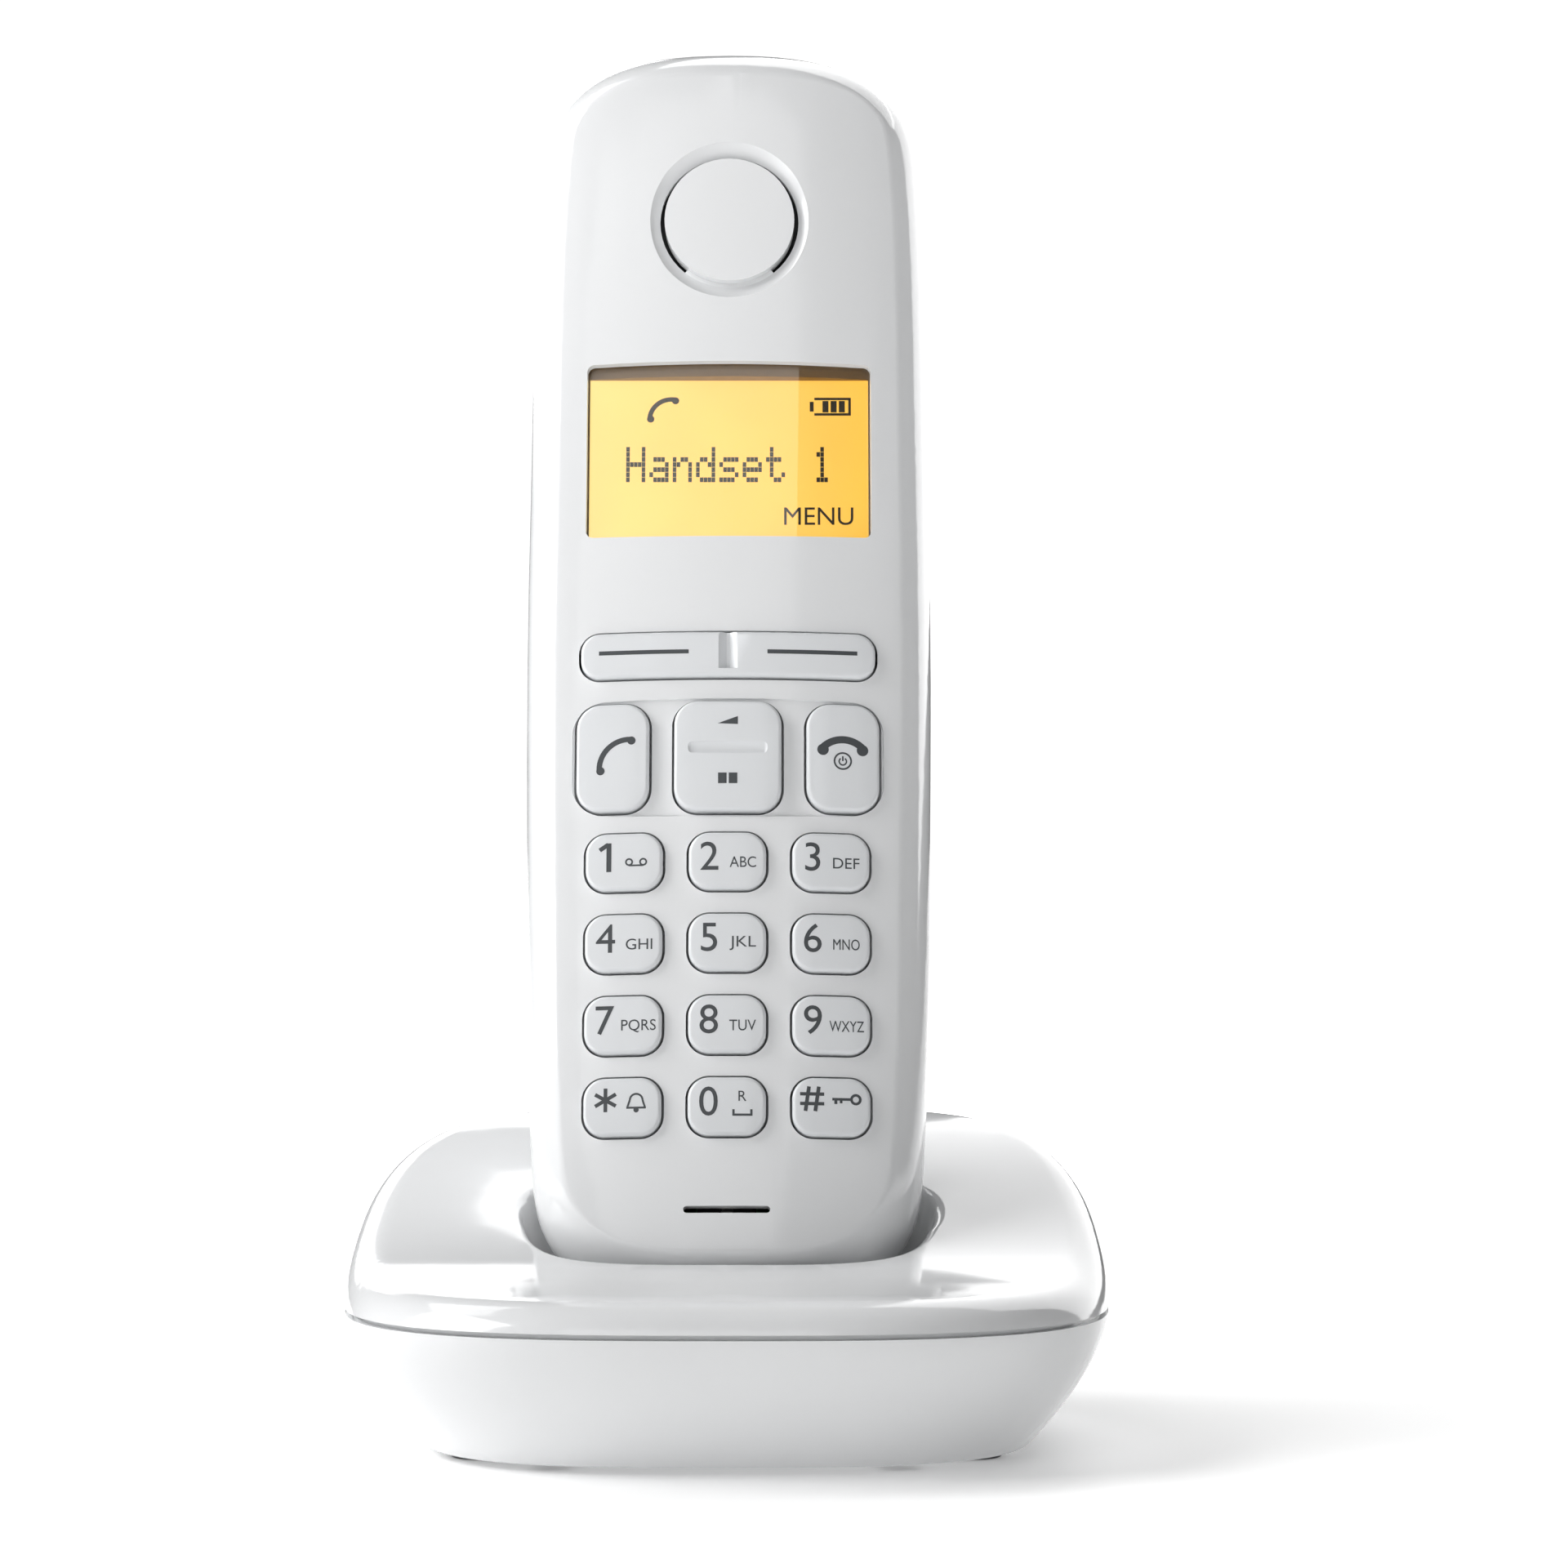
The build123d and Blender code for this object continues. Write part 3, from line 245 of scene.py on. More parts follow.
# Bronze with a flash of gold: the charging contacts glint yellow in the white cradle.
GOLD = metal("gold_flashed_bronze", "#E0B568", 0.25, 0.4)
# Zinc-plated screws: cool grey and a little dull.
ZINC = metal("zinc_plated_screw", "#B4B6B8", 0.35, 0.4)
print("materials so far:", len(bpy.data.materials))

# %% [markdown]
# The display is a lamp behind coloured film: it glows amber, and its left edge is painted paler,
# a painted reflection over the glow.  A light behind a thin film could do the glow, but emission
# on the panel's own surface is steady and simple.

# %% The lit panel
# The amber pales towards the left edge: a painted reflection over the backlight's glow.
PAINTED_REFLECTION_REACH = 16 * MM  # the glow changes from one edge of the panel to the other
GLOW_PATCH_MM = 9


def lit_screen():
    """Backlit amber, paled towards the left edge by a painted reflection; its strength varies slightly.
    """
    material, tree = new_material("backlit_amber_display_painted_reflection")
    place = add(tree, "ShaderNodeTexCoord").outputs["Object"]
    axes = add(tree, "ShaderNodeSeparateXYZ", links={"Vector": place})
    across = add(tree, "ShaderNodeMapRange", {"From Min": -PAINTED_REFLECTION_REACH, "From Max": PAINTED_REFLECTION_REACH},
                 {"Value": axes.outputs["X"]})
    ramp = add(tree, "ShaderNodeValToRGB", links={"Fac": across.outputs[0]})
    ramp.color_ramp.elements[0].color = colour("#FFE58A")
    ramp.color_ramp.elements[1].color = colour("#FFC648")
    cloud = add(tree, "ShaderNodeTexNoise", {"Scale": 1 / (GLOW_PATCH_MM * MM), "Detail": 1.0},
                {"Vector": place})
    power = add(tree, "ShaderNodeMapRange", {"To Min": 0.86, "To Max": 1.02},
                {"Value": cloud.outputs["Fac"]})
    shader = add(tree, "ShaderNodeBsdfPrincipled",
                 {"Base Color": colour("#B08A3C"), "Roughness": 0.35},
                 {"Emission Color": ramp.outputs["Color"], "Emission Strength": power.outputs[0]})
    finish_material(tree, shader)
    return material


# Polarising film over a lamp glows amber without studio light; a painted reflection pales one edge.
SCREEN = lit_screen()
# Liquid crystal, switched on: a warm near-black that still lets the amber tint it.
LCD_INK = moulded("display_segment_dark", "#2C220E", 0.4, 0.6, 0.001)
print("lit panel:", SCREEN.name)

# %% [markdown]
# The window over the display is clear acrylic, cast flat and polished.  Mixing glass and gloss
# shaders would do, but the Principled shader's transmission bends the light as acrylic does, and
# mirrors a bright studio card as a pale veil over part of the amber.

# %% The clear window
ACRYLIC_IOR = 1.49
SMEAR_MM = 6


def clear_acrylic():
    """Clear plastic with faint smears from fingers."""
    material, tree = new_material("acrylic_clear_polished")
    place = add(tree, "ShaderNodeTexCoord").outputs["Object"]
    smear = add(tree, "ShaderNodeTexNoise", {"Scale": 1 / (SMEAR_MM * MM), "Detail": 2.0},
                {"Vector": place})
    gloss = add(tree, "ShaderNodeMapRange", {"To Min": 0.0, "To Max": 0.03},
                {"Value": smear.outputs["Fac"]})
    shader = add(tree, "ShaderNodeBsdfPrincipled",
                 {"Base Color": colour("#FCFCFA"), "Transmission Weight": 1.0, "IOR": ACRYLIC_IOR},
                 {"Roughness": gloss.outputs[0]})
    finish_material(tree, shader)
    return material


# Polished acrylic: nearly invisible, except where it mirrors a bright card.
ACRYLIC = clear_acrylic()
print("window:", ACRYLIC.name, "among", len(bpy.data.materials), "materials")

# %% [markdown]
# A CAD solid arrives as loose triangles, which would shade as facets.  Remodelling each part by
# hand would lose its true shape, so a copy is merged at its corners and shaded smooth, with
# creases kept where two faces meet sharply.  The copy stands for the solid, which stays in the
# physics.

# %% A smooth skin over a CAD solid
CREASE = math.radians(32)  # faces that meet more sharply than this keep a crisp edge
MERGE = 0.002 * MM


def place_object(name, data):
    """Makes an object of a mesh, a light or a camera, and puts it in the scene."""
    holder = bpy.data.objects.new(name, data)
    bpy.context.scene.collection.objects.link(holder)
    return holder


def skin(node, material):
    """Covers one CAD node with a merged, smooth-shaded copy of itself."""
    source = nodes[node]
    mesh = source.data.copy()
    mesh.name = node + "_skin"
    work = bmesh.new()
    work.from_mesh(mesh)
    bmesh.ops.remove_doubles(work, verts=work.verts, dist=MERGE)
    bmesh.ops.dissolve_degenerate(work, edges=work.edges, dist=MERGE / 2)
    for face in work.faces:
        face.smooth = True
        face.material_index = 0
    for edge in work.edges:
        edge.smooth = len(edge.link_faces) == 2 and edge.calc_face_angle(0) < CREASE
    work.to_mesh(mesh)
    work.free()
    mesh.materials.clear()
    mesh.materials.append(material)
    piece = place_object(node + "_skin", mesh)
    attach(piece, source["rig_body"])
    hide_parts(node)


# %% [markdown]
# Every solid that shows gets a skin in its own finish.  A table of names does it, because the work
# is the same for each: the housings are gloss, the keys satin, the contacts gold.

# %% Skins on the pieces that show
SKINS = {
    "handset_front_shell": GLOSS_ABS, "handset_rear_shell": GLOSS_ABS, "battery_cover": COVER_ABS,
    "base_upper_shell": GLOSS_ABS, "base_lower_shell": GLOSS_ABS, "display_window": ACRYLIC,
    "talk_key": KEY_ABS, "end_key": KEY_ABS, "control_key": KEY_ABS, "display_key_bar": KEY_ABS,
    "page_key": KEY_ABS, "handset_charge_plates": GOLD, "charge_tongue_left": GOLD,
    "charge_tongue_right": GOLD, "base_feet": FOOT_RUBBER, "battery_cell_1": CELL_SLEEVE,
    "battery_cell_2": CELL_SLEEVE, "line_jack": BLACK_PBT, "power_jack": BLACK_PBT,
    "power_jack_pin": GOLD, "line_jack_wires": GOLD, "handset_screws": ZINC, "base_screws": ZINC,
    "earpiece_speaker": SPEAKER_PLASTIC, "ringer_speaker": SPEAKER_PLASTIC, "contact_carrier": NYLON,
    "battery_springs": SPRING, "battery_plates": SPRING, "base_capacitor": CAP_SLEEVE,
}
DIGITS = ("key_1", "key_2", "key_3", "key_4", "key_5", "key_6", "key_7", "key_8", "key_9",
          "key_star", "key_0", "key_hash")
for digit in DIGITS:
    SKINS[digit] = KEY_ABS
for node_name, finish in SKINS.items():
    skin(node_name, finish)
print("skins:", len(SKINS))

# %% [markdown]
# The boards, films and cans inside are flat and hardly seen, so their CAD solids stay as they are.
# Only their material slots are filled, which changes a finish and never a shape.

# %% Finishes on the hidden solids
HIDDEN = {
    "lcd_panel": LIGHTBOX, "lcd_backlight": LIGHTBOX, "lcd_ribbon": RIBBON, "earpiece_gasket": FOAM,
    "microphone": TINPLATE, "microphone_boot": FOAM, "handset_board": BOARD_RESIST,
    "dome_film": FILM, "keypad_mat": SILICONE, "radio_shield": TINPLATE,
    "base_board": BOARD_RESIST, "base_shield": TINPLATE, "base_antennas": TINPLATE,
    "page_board": BOARD_RESIST, "page_switch": BLACK_PBT,
}
for node_name, finish in HIDDEN.items():
    slots = nodes[node_name].data.materials
    if len(slots) == 0:
        slots.append(finish)
    for index in range(len(slots)):
        slots[index] = finish
print("hidden solids:", len(HIDDEN))

# %% [markdown]
# The legends are pad-printed: a silicone pad lays a thin film of ink on the curved key.  A painted
# map would blur up close, so each legend is real geometry, drawn flat first.  Digits and letters
# come from the plain built-in type, turned into a mesh.

# %% Flat type
TYPE_STEPS = 5  # straight pieces in each curve of a letter


def text_mesh(words, size):
    curve = bpy.data.curves.new("type", "FONT")
    curve.body = words
    curve.size = size
    curve.align_x = "CENTER"
    curve.align_y = "CENTER"
    curve.resolution_u = TYPE_STEPS
    holder = place_object("type", curve)
    bpy.context.view_layer.update()
    evaluated = holder.evaluated_get(bpy.context.evaluated_depsgraph_get())
    mesh = bpy.data.meshes.new_from_object(evaluated)
    bpy.data.objects.remove(holder)
    return mesh


def draw_text(work, words, x, y, size, width=None):
    """Adds text in mm to a flat bmesh, centred on x and y, squeezed to `width` when that is given."""
    mesh = text_mesh(words, size)
    spans = [v.co.x for v in mesh.vertices]
    rises = [v.co.y for v in mesh.vertices]
    squeeze = 1.0 if width is None else width / (max(spans) - min(spans))
    middle = Vector(((max(spans) + min(spans)) / 2, (max(rises) + min(rises)) / 2, 0))
    mesh.transform(Matrix.Translation((x, y, 0)) @ Matrix.Diagonal((squeeze, 1, 1, 1))
                   @ Matrix.Translation(-middle))
    work.from_mesh(mesh)
    bpy.data.meshes.remove(mesh)


print("flat type ready,", TYPE_STEPS, "steps to a curve")

# %% [markdown]
# The signs beside the digits are made of three strokes: a disc, a bar and a band spun round a
# centre.  Curve objects with a bevel would need converting, while these operators draw straight
# into the sheet.

# %% Flat strokes
DISC_SIDES = 20


def draw_disc(work, x, y, radius):
    bmesh.ops.create_circle(work, cap_ends=True, segments=DISC_SIDES, radius=radius,
                            matrix=Matrix.Translation((x, y, 0)))


def draw_bar(work, start, end, thick, cuts=0):
    """A straight bar from start to end, cut across so that it can follow a curve."""
    start = Vector((*start, 0))
    end = Vector((*end, 0))
    run = end - start
    place = (Matrix.Translation((start + end) / 2)
             @ Matrix.Rotation(math.atan2(run.y, run.x), 4, "Z")
             @ Matrix.Diagonal((run.length, thick, 1, 1)))
    bmesh.ops.create_grid(work, x_segments=cuts + 1, y_segments=1, size=0.5, matrix=place)


def draw_arc(work, x, y, radius, thick, start, end, steps=18):
    """A band spun round a centre; the angles are in degrees from +x."""
    turn = math.radians(start)
    way = Vector((math.cos(turn), math.sin(turn), 0))
    centre = Vector((x, y, 0))
    inner = work.verts.new(centre + way * (radius - thick / 2))
    outer = work.verts.new(centre + way * (radius + thick / 2))
    edge = work.edges.new((inner, outer))
    full = abs(end - start) >= 360
    bmesh.ops.spin(work, geom=[inner, outer, edge], cent=centre, axis=(0, 0, 1),
                   angle=math.radians(end - start), steps=steps, use_merge=full)


print("strokes ready, a disc has", DISC_SIDES, "sides")

# %% [markdown]
# The receiver sign is on the talk key, the end key and the display.  It is an arc with a round cup
# at each end, so one function draws it from its span, the thickness of its line and its tilt.

# %% The receiver sign
HALF_ARC = 52  # degrees that the arc turns to each side of its top
CUP_SIZE = 0.78  # radius of a cup, in thicknesses of the line
CUP_INSET = 0.22  # how far a cup sits inside the arc, in the same measure


def receiver(work, x, y, span, thick, tilt):
    """A telephone receiver as wide as `span`, turned by `tilt` degrees."""
    radius = span / 2 / math.sin(math.radians(HALF_ARC))
    lean = math.radians(tilt)
    below = radius * math.cos(math.radians(HALF_ARC)) + span * 0.10
    cx = x + below * math.sin(lean)
    cy = y - below * math.cos(lean)
    draw_arc(work, cx, cy, radius, thick, 90 + tilt - HALF_ARC, 90 + tilt + HALF_ARC)
    reach = radius - thick * CUP_INSET
    for side in (-1, 1):
        turn = math.radians(90 + tilt + side * (HALF_ARC - 3))
        draw_disc(work, cx + reach * math.cos(turn), cy + reach * math.sin(turn), thick * CUP_SIZE)


print("the receiver's arc turns", 2 * HALF_ARC, "degrees")

# %% [markdown]
# A finished drawing is laid on its key.  Projecting it with a Shrinkwrap modifier would depend on
# the key's mesh, so each point is set to the depth of the known crown instead.  The sheet is then
# thickened, sunk a little so that no gap shows, and leaned with the handset.

# %% Laying print on the face


def finished_mesh(work, name, material):
    """Turns a bmesh into a mesh with one finish."""
    mesh = bpy.data.meshes.new(name)
    work.to_mesh(mesh)
    work.free()
    mesh.materials.append(material)
    return mesh


def lay_print(name, work, x, height, proud, body, material, thick=0.03, flat_depth=None):
    """Lays flat print on the surface `proud` of the face, or at a flat depth; all sizes in mm."""
    for vert in work.verts:
        across = x + vert.co.x
        depth = crown(across, proud) if flat_depth is None else flat_depth
        vert.co = Vector((across, depth + thick / 3, height + vert.co.y)) * MM
    bmesh.ops.recalc_face_normals(work, faces=work.faces)
    for face in work.faces:
        face.normal_update()
        if face.normal.y > 0:
            face.normal_flip()
    grown = bmesh.ops.extrude_face_region(work, geom=list(work.faces))["geom"]
    moved = [item for item in grown if isinstance(item, bmesh.types.BMVert)]
    bmesh.ops.translate(work, verts=moved, vec=(0, -thick * MM, 0))
    bmesh.ops.recalc_face_normals(work, faces=work.faces)
    bmesh.ops.transform(work, matrix=LEANING, verts=work.verts)
    piece = place_object(name, finished_mesh(work, name, material))
    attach(piece, body)


print("print is laid on a crown of radius", FACE_RADIUS, "mm")

# %% [markdown]
# Star, hash, bell, key, tape and space bar are the signs found on any such keypad.  Their real
# shapes are simple, so each is a few strokes, placed in millimetres from the middle of its own
# drawing.

# %% Signs on the digit keys


def digit_one(work, x, y):
    draw_bar(work, (x + 0.3, y - 1.2), (x + 0.3, y + 2.15), 0.56)
    draw_bar(work, (x + 0.22, y + 2.0), (x - 0.75, y + 1.35), 0.5)


def star(work, x, y):
    reach = 1.35
    for step in range(3):
        turn = math.radians(90 + 60 * step)
        dx = reach * math.cos(turn)
        dy = reach * math.sin(turn)
        draw_bar(work, (x - dx, y - dy), (x + dx, y + dy), 0.42)


def hash_sign(work, x, y):
    for shift in (-0.55, 0.55):
        draw_bar(work, (x + shift - 0.2, y - 1.4), (x + shift + 0.2, y + 1.4), 0.42)
        draw_bar(work, (x - 1.35, y + shift), (x + 1.35, y + shift), 0.38)


def bell(work, x, y):
    draw_arc(work, x, y + 0.1, 0.72, 0.22, 0, 180)
    for side in (-1, 1):
        draw_bar(work, (x + side * 0.72, y + 0.1), (x + side * 1.0, y - 0.75), 0.22)
    draw_bar(work, (x - 1.1, y - 0.75), (x + 1.1, y - 0.75), 0.22)
    draw_disc(work, x, y - 1.0, 0.3)


def key_sign(work, x, y):
    draw_arc(work, x + 1.15, y, 0.5, 0.3, 0, 360)
    draw_bar(work, (x - 1.5, y), (x + 0.66, y), 0.3)
    draw_bar(work, (x - 1.1, y), (x - 1.1, y - 0.55), 0.34)
    draw_bar(work, (x - 0.5, y), (x - 0.5, y - 0.45), 0.3)


def voice_sign(work, x, y):
    for side in (-1, 1):
        draw_arc(work, x + side * 0.8, y, 0.36, 0.2, 0, 360, steps=14)
    draw_bar(work, (x - 0.8, y - 0.4), (x + 0.8, y - 0.4), 0.2)


def recall_sign(work, x, y):
    draw_text(work, "R", x, y + 1.1, 1.7)
    draw_bar(work, (x - 1.0, y - 1.05), (x + 1.0, y - 1.05), 0.26)
    for side in (-1, 1):
        draw_bar(work, (x + side * 1.0, y - 1.17), (x + side * 1.0, y - 0.43), 0.26)


print("signs ready")

# %% [markdown]
# A digit stands left of the middle of its key, with its letters or its sign to the right.  The
# rows and columns are the keypad's own pitch, so a loop over the twelve keys sets every legend on
# its key.

# %% Legends of the digit keys
ROWS = (50.4, 40.95, 31.5, 22.1)  # heights of the four rows along the handset
PITCH = 11.7  # from one column of keys to the next
KEY_PROUD = 0.85  # how far a digit key stands out of the face
MAIN_X = -2.05
SIDE_X = 1.75
DIGIT_SIZE = 4.75
LETTER_SIZE = 1.8
LETTERS = {"key_2": "ABC", "key_3": "DEF", "key_4": "GHI", "key_5": "JKL", "key_6": "MNO",
           "key_7": "PQRS", "key_8": "TUV", "key_9": "WXYZ"}
WIDTH_OF_LETTERS = {3: 3.0, 4: 3.9}
MAIN_SIGNS = {"key_1": (digit_one, MAIN_X, 0), "key_star": (star, MAIN_X + 0.15, 0.75),
              "key_hash": (hash_sign, MAIN_X - 0.1, 0.85)}
SIDE_SIGNS = {"key_1": (voice_sign, SIDE_X - 0.4, -0.1), "key_star": (bell, SIDE_X - 0.2, 0.6),
              "key_0": (recall_sign, SIDE_X, 0), "key_hash": (key_sign, SIDE_X - 0.15, 0.85)}


def legend(key):
    """The flat print of one digit key."""
    work = bmesh.new()
    if key in MAIN_SIGNS:
        sign, x, y = MAIN_SIGNS[key]
        sign(work, x, y)
    else:
        draw_text(work, key[-1], MAIN_X, 0.5, DIGIT_SIZE)
    if key in SIDE_SIGNS:
        sign, x, y = SIDE_SIGNS[key]
        sign(work, x, y)
    else:
        letters = LETTERS[key]
        draw_text(work, letters, SIDE_X, -0.2, LETTER_SIZE, WIDTH_OF_LETTERS[len(letters)])
    return work


for index, key in enumerate(DIGITS):
    column = index % 3 - 1
    lay_print("legend_" + key, legend(key), column * PITCH, ROWS[index // 3], KEY_PROUD, key, INK)
print("digit legends:", len(DIGITS))

# %% [markdown]
# The talk key shows a lifted receiver, and the end key a resting one over a small power ring.
# Both use the receiver drawn above.  Each legend rides on its own key, so it goes in when the key
# is pressed.

# %% Legends of the talk and end keys
CONTROL_ROW = 62.7
CALL_X = 13.1
CALL_PROUD = 0.75

talk = bmesh.new()
receiver(talk, 0.0, 0.5, 5.4, 0.62, 45)
lay_print("legend_talk_key", talk, -CALL_X, CONTROL_ROW, CALL_PROUD, "talk_key", INK)

end = bmesh.new()
receiver(end, 0.0, 1.35, 5.0, 0.85, 0)
draw_arc(end, 0, -0.45, 0.95, 0.2, 0, 360, steps=28)
draw_arc(end, 0, -0.5, 0.42, 0.17, 125, 415, steps=16)
draw_bar(end, (0, -0.45), (0, 0.12), 0.18)
lay_print("legend_end_key", end, CALL_X, CONTROL_ROW, CALL_PROUD, "end_key", INK)
print("talk and end legends at", CALL_X, "mm to each side")

# %% [markdown]
# The control key has a volume wedge above its groove and an open book below it.  The display key
# bar has one long line on each wing, cut across many times so that it bends with the face.

# %% Legends of the control key and the display key bar
BAR_ROW = 74.8
CONTROL_PROUD = 0.95
BAR_PROUD = 0.8

rocker = bmesh.new()
wedge = [rocker.verts.new((x, y, 0)) for x, y in ((-1.15, 3.75), (1.15, 3.65), (1.15, 4.6))]
rocker.faces.new(wedge)
for side in (-1, 1):
    draw_bar(rocker, (side * 0.12, -2.7), (side * 1.1, -2.7), 1.25)
lay_print("legend_control_key", rocker, 0, CONTROL_ROW, CONTROL_PROUD, "control_key", INK)

bar_print = bmesh.new()
for side in (-1, 1):
    draw_bar(bar_print, (side * 4.5, 0.25), (side * 14.8, 0.25), 0.48, cuts=14)
lay_print("legend_display_key_bar", bar_print, 0, BAR_ROW, BAR_PROUD, "display_key_bar", INK)
print("control legends at heights", CONTROL_ROW, "and", BAR_ROW, "mm")

# %% [markdown]
# Behind the window lies the glowing panel.  The CAD's panel is a plain slab that sits deeper, so a
# thin sheet just in front of it carries the glow.

# %% The glowing panel
SCREEN_MID = 99.6
SCREEN_W = 32.6
SCREEN_H = 20.8
SCREEN_DEPTH = 3.46

panel = bmesh.new()
bmesh.ops.create_grid(panel, x_segments=12, y_segments=8, size=0.5,
                      matrix=Matrix.Diagonal((SCREEN_W, SCREEN_H, 1, 1)))
lay_print("display_screen", panel, 0, SCREEN_MID, 0, "handset", SCREEN, 0.03, SCREEN_DEPTH)
print("panel:", SCREEN_W, "x", SCREEN_H, "mm")

# %% [markdown]
# A soft gasket frames the panel and keeps dust out; its brown is painted shade, standing for the
# dark wall round the opening, warmed by the amber.  Cutting one plate from another with a boolean
# would leave ragged faces, so a grid is made, its inner ring is moved to the edge of the opening,
# the middle is deleted, and the frame is extruded forward until it meets the curved back of the
# window.

# %% The gasket round the display
WINDOW_ROW = 99.8
GASKET_W = 34.2
GASKET_H = 23.2
OPENING_SIDE = 16.15  # from the middle of the window to each side of the opening
OPENING_TOP = 9.3
OPENING_FOOT = 10.25
GASKET_BACK = 3.44
GASKET_THINNEST = 0.04
WINDOW_BACK = 1.84  # the window's back face lies this far under the crown


def gasket_ring():
    """A frame between window and panel."""
    work = bmesh.new()
    bmesh.ops.create_grid(work, x_segments=16, y_segments=10, size=0.5,
                          matrix=Matrix.Diagonal((GASKET_W, GASKET_H, 1, 1)))
    column = GASKET_W / 16
    row = GASKET_H / 10
    for vert in work.verts:
        if abs(abs(vert.co.x) - GASKET_W / 2 + column) < column / 2:
            vert.co.x = math.copysign(OPENING_SIDE, vert.co.x)
        if abs(abs(vert.co.y) - GASKET_H / 2 + row) < row / 2:
            vert.co.y = OPENING_TOP if vert.co.y > 0 else -OPENING_FOOT
    middles = [(face, face.calc_center_median()) for face in work.faces]
    inside = [face for face, middle in middles
              if abs(middle.x) < OPENING_SIDE and -OPENING_FOOT < middle.y < OPENING_TOP]
    bmesh.ops.delete(work, geom=inside, context="FACES")
    for vert in work.verts:
        vert.co = Vector((vert.co.x, GASKET_BACK, WINDOW_ROW + vert.co.y))
    bmesh.ops.recalc_face_normals(work, faces=work.faces)
    grown = bmesh.ops.extrude_face_region(work, geom=list(work.faces))["geom"]
    for item in grown:
        if isinstance(item, bmesh.types.BMVert):
            item.co.y = min(crown(item.co.x, -WINDOW_BACK), GASKET_BACK - GASKET_THINNEST)
    bmesh.ops.recalc_face_normals(work, faces=work.faces)
    bmesh.ops.scale(work, vec=(MM, MM, MM), verts=work.verts)
    bmesh.ops.transform(work, matrix=LEANING, verts=work.verts)
    # The frame's brown is painted shade of the wall round the opening.
    piece = place_object("display_gasket", finished_mesh(work, "display_gasket", GASKET_PAINTED_SHADE))
    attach(piece, "handset")


gasket_ring()
print("gasket:", GASKET_W, "x", GASKET_H, "mm")

# %% [markdown]
# A small display writes in a five by seven dot font.  Each letter is seven rows of marks, and
# every mark becomes one tiny bar with a gap round it, which is what makes the type look like a
# display's.  It says only what any such phone says when idle.

# %% A dot font
DOTS = {
    "H": "#...# #...# #...# ##### #...# #...# #...#",
    "a": "..... ..... .###. ....# .#### #...# .####",
    "n": "..... ..... #.##. ##..# #...# #...# #...#",
    "d": "....# ....# .##.# #..## #...# #...# .####",
    "s": "..... ..... .#### #.... .###. ....# ####.",
    "e": "..... ..... .###. #...# ##### #.... .###.",
    "t": ".#... .#... ####. .#... .#... .#..# ..##.",
    " ": "..... ..... ..... ..... ..... ..... .....",
    "1": "..#.. .##.. ..#.. ..#.. ..#.. ..#.. .###.",
}
DOT_X = 0.45
DOT_Y = 0.62
DOT_FILL = 0.92  # the rest of each dot's place is the gap to its neighbours


def dot_text(work, words, x, y):
    """Dot-matrix words, centred on x and y."""
    start = x - DOT_X * (6 * len(words) - 1) / 2
    for place, letter in enumerate(words):
        for row, line in enumerate(DOTS[letter].split()):
            for column, mark in enumerate(line):
                if mark == "#":
                    cx = start + DOT_X * (6 * place + column + 0.5)
                    cy = y + DOT_Y * (3 - row)
                    half = DOT_X * DOT_FILL / 2
                    draw_bar(work, (cx - half, cy), (cx + half, cy), DOT_Y * DOT_FILL)


print("letters in the dot font:", len(DOTS))

# %% [markdown]
# Above the name are a small receiver and a battery with three charged cells, and below it is the
# word for the right display key.  All are dark segments just in front of the panel, drawn as one
# piece because they switch and move together.

# %% The dark segments
CELL_LEFT, CELL_RIGHT = 9.9, 14.0  # the battery sign's ends
CELL_FOOT, CELL_TOP = 5.15, 7.05

segments = bmesh.new()
dot_text(segments, "Handset 1", 0.0, -1.0)
draw_text(segments, "MENU", 10.4, -7.3, 3.1, 8.0)
receiver(segments, -7.9, 6.0, 4.0, 0.55, 38)
for level in (CELL_FOOT, CELL_TOP):
    draw_bar(segments, (CELL_LEFT, level), (CELL_RIGHT, level), 0.3)
draw_bar(segments, (CELL_RIGHT, 5.0), (CELL_RIGHT, 7.2), 0.3)
draw_bar(segments, (9.6, 5.5), (9.6, 6.7), 0.45)
for step in range(3):
    draw_bar(segments, (11.2 + step * 0.95, 5.4), (11.2 + step * 0.95, 6.8), 0.7)
lay_print("display_segments", segments, 0, WINDOW_ROW, 0, "handset", LCD_INK, 0.02,
          SCREEN_DEPTH - 0.03)
print("display ready,", round(SCREEN_DEPTH - 0.03, 2), "mm behind the face")

# %% [markdown]
# The phone stands on a plain white table.  A table lit only from above would turn grey far from
# the lamps, so it is given painted light: its glow grows with distance from the phone, so that it
# stays white far off and a soft shadow stays round the phone.

# %% Floor
FLOOR_HALF = 6.0  # metres from the middle to each edge
TABLE_GRAIN_MM = 40
# Strength of the painted light at the first and the last of two distances in metres from the middle.
TABLE_PAINTED_LIGHT = {"From Min": 0.10, "From Max": 0.45, "To Min": 0.20, "To Max": 1.0}


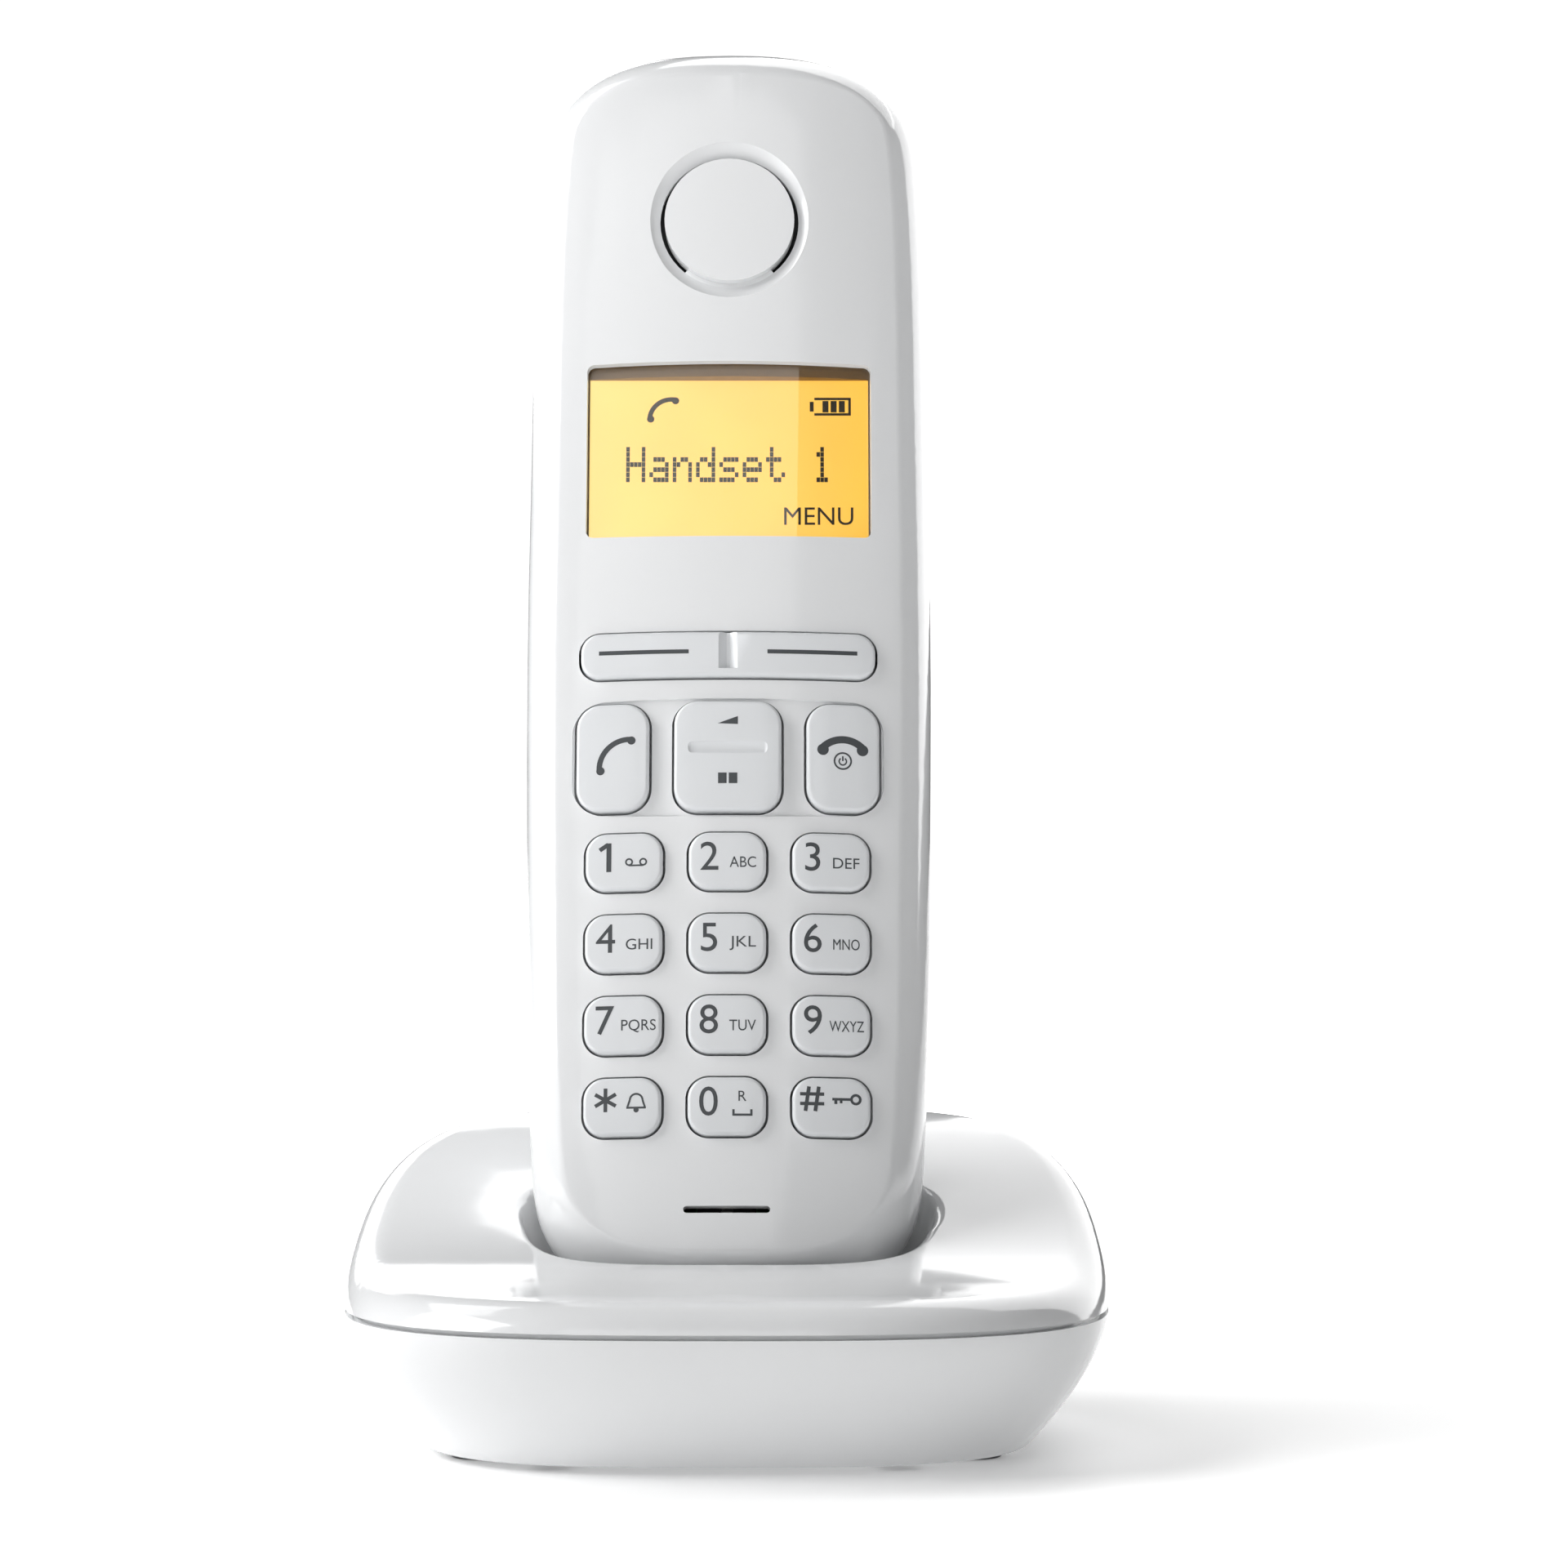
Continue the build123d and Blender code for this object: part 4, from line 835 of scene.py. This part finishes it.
def table_white():
    """Painted board: matt white, slightly varied gloss, and painted light that grows with distance."""
    material, tree = new_material("studio_table_white")
    place = add(tree, "ShaderNodeTexCoord").outputs["Object"]
    grain = add(tree, "ShaderNodeTexNoise", {"Scale": 1 / (TABLE_GRAIN_MM * MM), "Detail": 2.0},
                {"Vector": place})
    gloss = add(tree, "ShaderNodeMapRange", {"To Min": 0.5, "To Max": 0.6},
                {"Value": grain.outputs["Fac"]})
    reach = add(tree, "ShaderNodeVectorMath", links={0: place}, operation="LENGTH")
    # Painted light: the table's glow is weak near the phone and full far from it.
    glow = add(tree, "ShaderNodeMapRange", TABLE_PAINTED_LIGHT, {"Value": reach.outputs["Value"]},
               interpolation_type="SMOOTHSTEP")
    shader = add(tree, "ShaderNodeBsdfPrincipled",
                 {"Base Color": colour("#FAFAFA"), "Emission Color": (1, 1, 1, 1)},
                 {"Roughness": gloss.outputs[0], "Emission Strength": glow.outputs[0]})
    finish_material(tree, shader)
    return material


sheet = bmesh.new()
bmesh.ops.create_grid(sheet, x_segments=1, y_segments=1, size=FLOOR_HALF)
floor = place_object("studio_floor", finished_mesh(sheet, "studio_floor", table_white()))
print("floor:", 2 * FLOOR_HALF, "m wide")

# %% [markdown]
# Round the table the air is white where it is looked at, but gives almost no light.  One even
# white world would flood the shape from every side, so the light path splits what is seen from
# what lights.

# %% Air
AIR_LIGHT = 0.05
AIR_SEEN = 1.1


def surroundings():
    world = bpy.data.worlds.new("studio_air")
    world.use_nodes = True
    tree = world.node_tree
    tree.nodes.clear()
    lights = add(tree, "ShaderNodeBackground", {"Color": (1, 1, 1, 1), "Strength": AIR_LIGHT})
    seen = add(tree, "ShaderNodeBackground", {"Color": (1, 1, 1, 1), "Strength": AIR_SEEN})
    path = add(tree, "ShaderNodeLightPath")
    mix = add(tree, "ShaderNodeMixShader", links={"Fac": path.outputs["Is Camera Ray"],
                                                  1: lights.outputs[0], 2: seen.outputs[0]})
    add(tree, "ShaderNodeOutputWorld", links={"Surface": mix.outputs[0]})
    bpy.context.scene.world = world


surroundings()
print("air gives", AIR_LIGHT, "and shows", AIR_SEEN)

# %% [markdown]
# A white product is lit so that its own shape draws it.  A broad card in front mirrors in the
# face, a big soft box stands at the left, and softer ones fill from above and behind.  Two cards
# low at the back only shine: they draw bright edges on the gloss without flattening the back.  A
# light's strength is worked out from its radiance, so a larger box gives softer light and looks no
# brighter.

# %% Lights
TARGET = Vector((0, 0, 0.075))


def soft_box(name, azimuth, elevation, distance, size, radiance, shine_only=False):
    """A rectangular light aimed at the phone; azimuth 0 is in front of it and grows to the right."""
    turn = math.radians(azimuth)
    rise = math.radians(elevation)
    away = Vector((math.sin(turn) * math.cos(rise), -math.cos(turn) * math.cos(rise),
                   math.sin(rise)))
    lamp = bpy.data.lights.new(name, "AREA")
    lamp.shape = "RECTANGLE"
    lamp.size, lamp.size_y = size
    lamp.energy = radiance * math.pi * size[0] * size[1]
    holder = place_object(name, lamp)
    holder.location = TARGET + away * distance
    holder.rotation_euler = away.to_track_quat("Z", "Y").to_euler()
    holder.visible_diffuse = not shine_only


soft_box("front_card", -8, 30, 1.2, (0.66, 0.74), 1.35)
soft_box("left_box", -80, 34, 0.9, (0.70, 0.60), 6.1)
soft_box("left_high_box", -120, 54, 1.0, (0.56, 0.34), 3.0)
soft_box("rear_high_box", 152, 46, 1.0, (0.90, 0.50), 2.5)
soft_box("left_rear_card", -163.8, 16.8, 1.09, (0.45, 0.38), 2.6, shine_only=True)
soft_box("right_rear_card", 152, 18, 1.5, (1.3, 0.8), 2.6, shine_only=True)
print("lights:", len(bpy.data.lights))

# %% [markdown]
# A product picture is taken from a little way off with a long lens, so that the phone keeps its
# true proportions.  The camera is level with the talk and end keys.  The Standard view shows
# whites as white, where a filmic one would turn them grey.

# %% Camera
EYE = Vector((6.4, -607, 74.6)) * MM
LENS_MM = 122.1

lens = bpy.data.cameras.new("camera")
lens.lens = LENS_MM
lens.sensor_width = 36.0
lens.clip_start = 0.01
lens.dof.use_dof = False
eye = place_object("camera", lens)
eye.location = EYE
eye.rotation_euler = (math.radians(90), 0, 0)
bpy.context.scene.camera = eye
bpy.context.scene.view_settings.view_transform = "Standard"
print("camera at", [round(value, 4) for value in EYE])
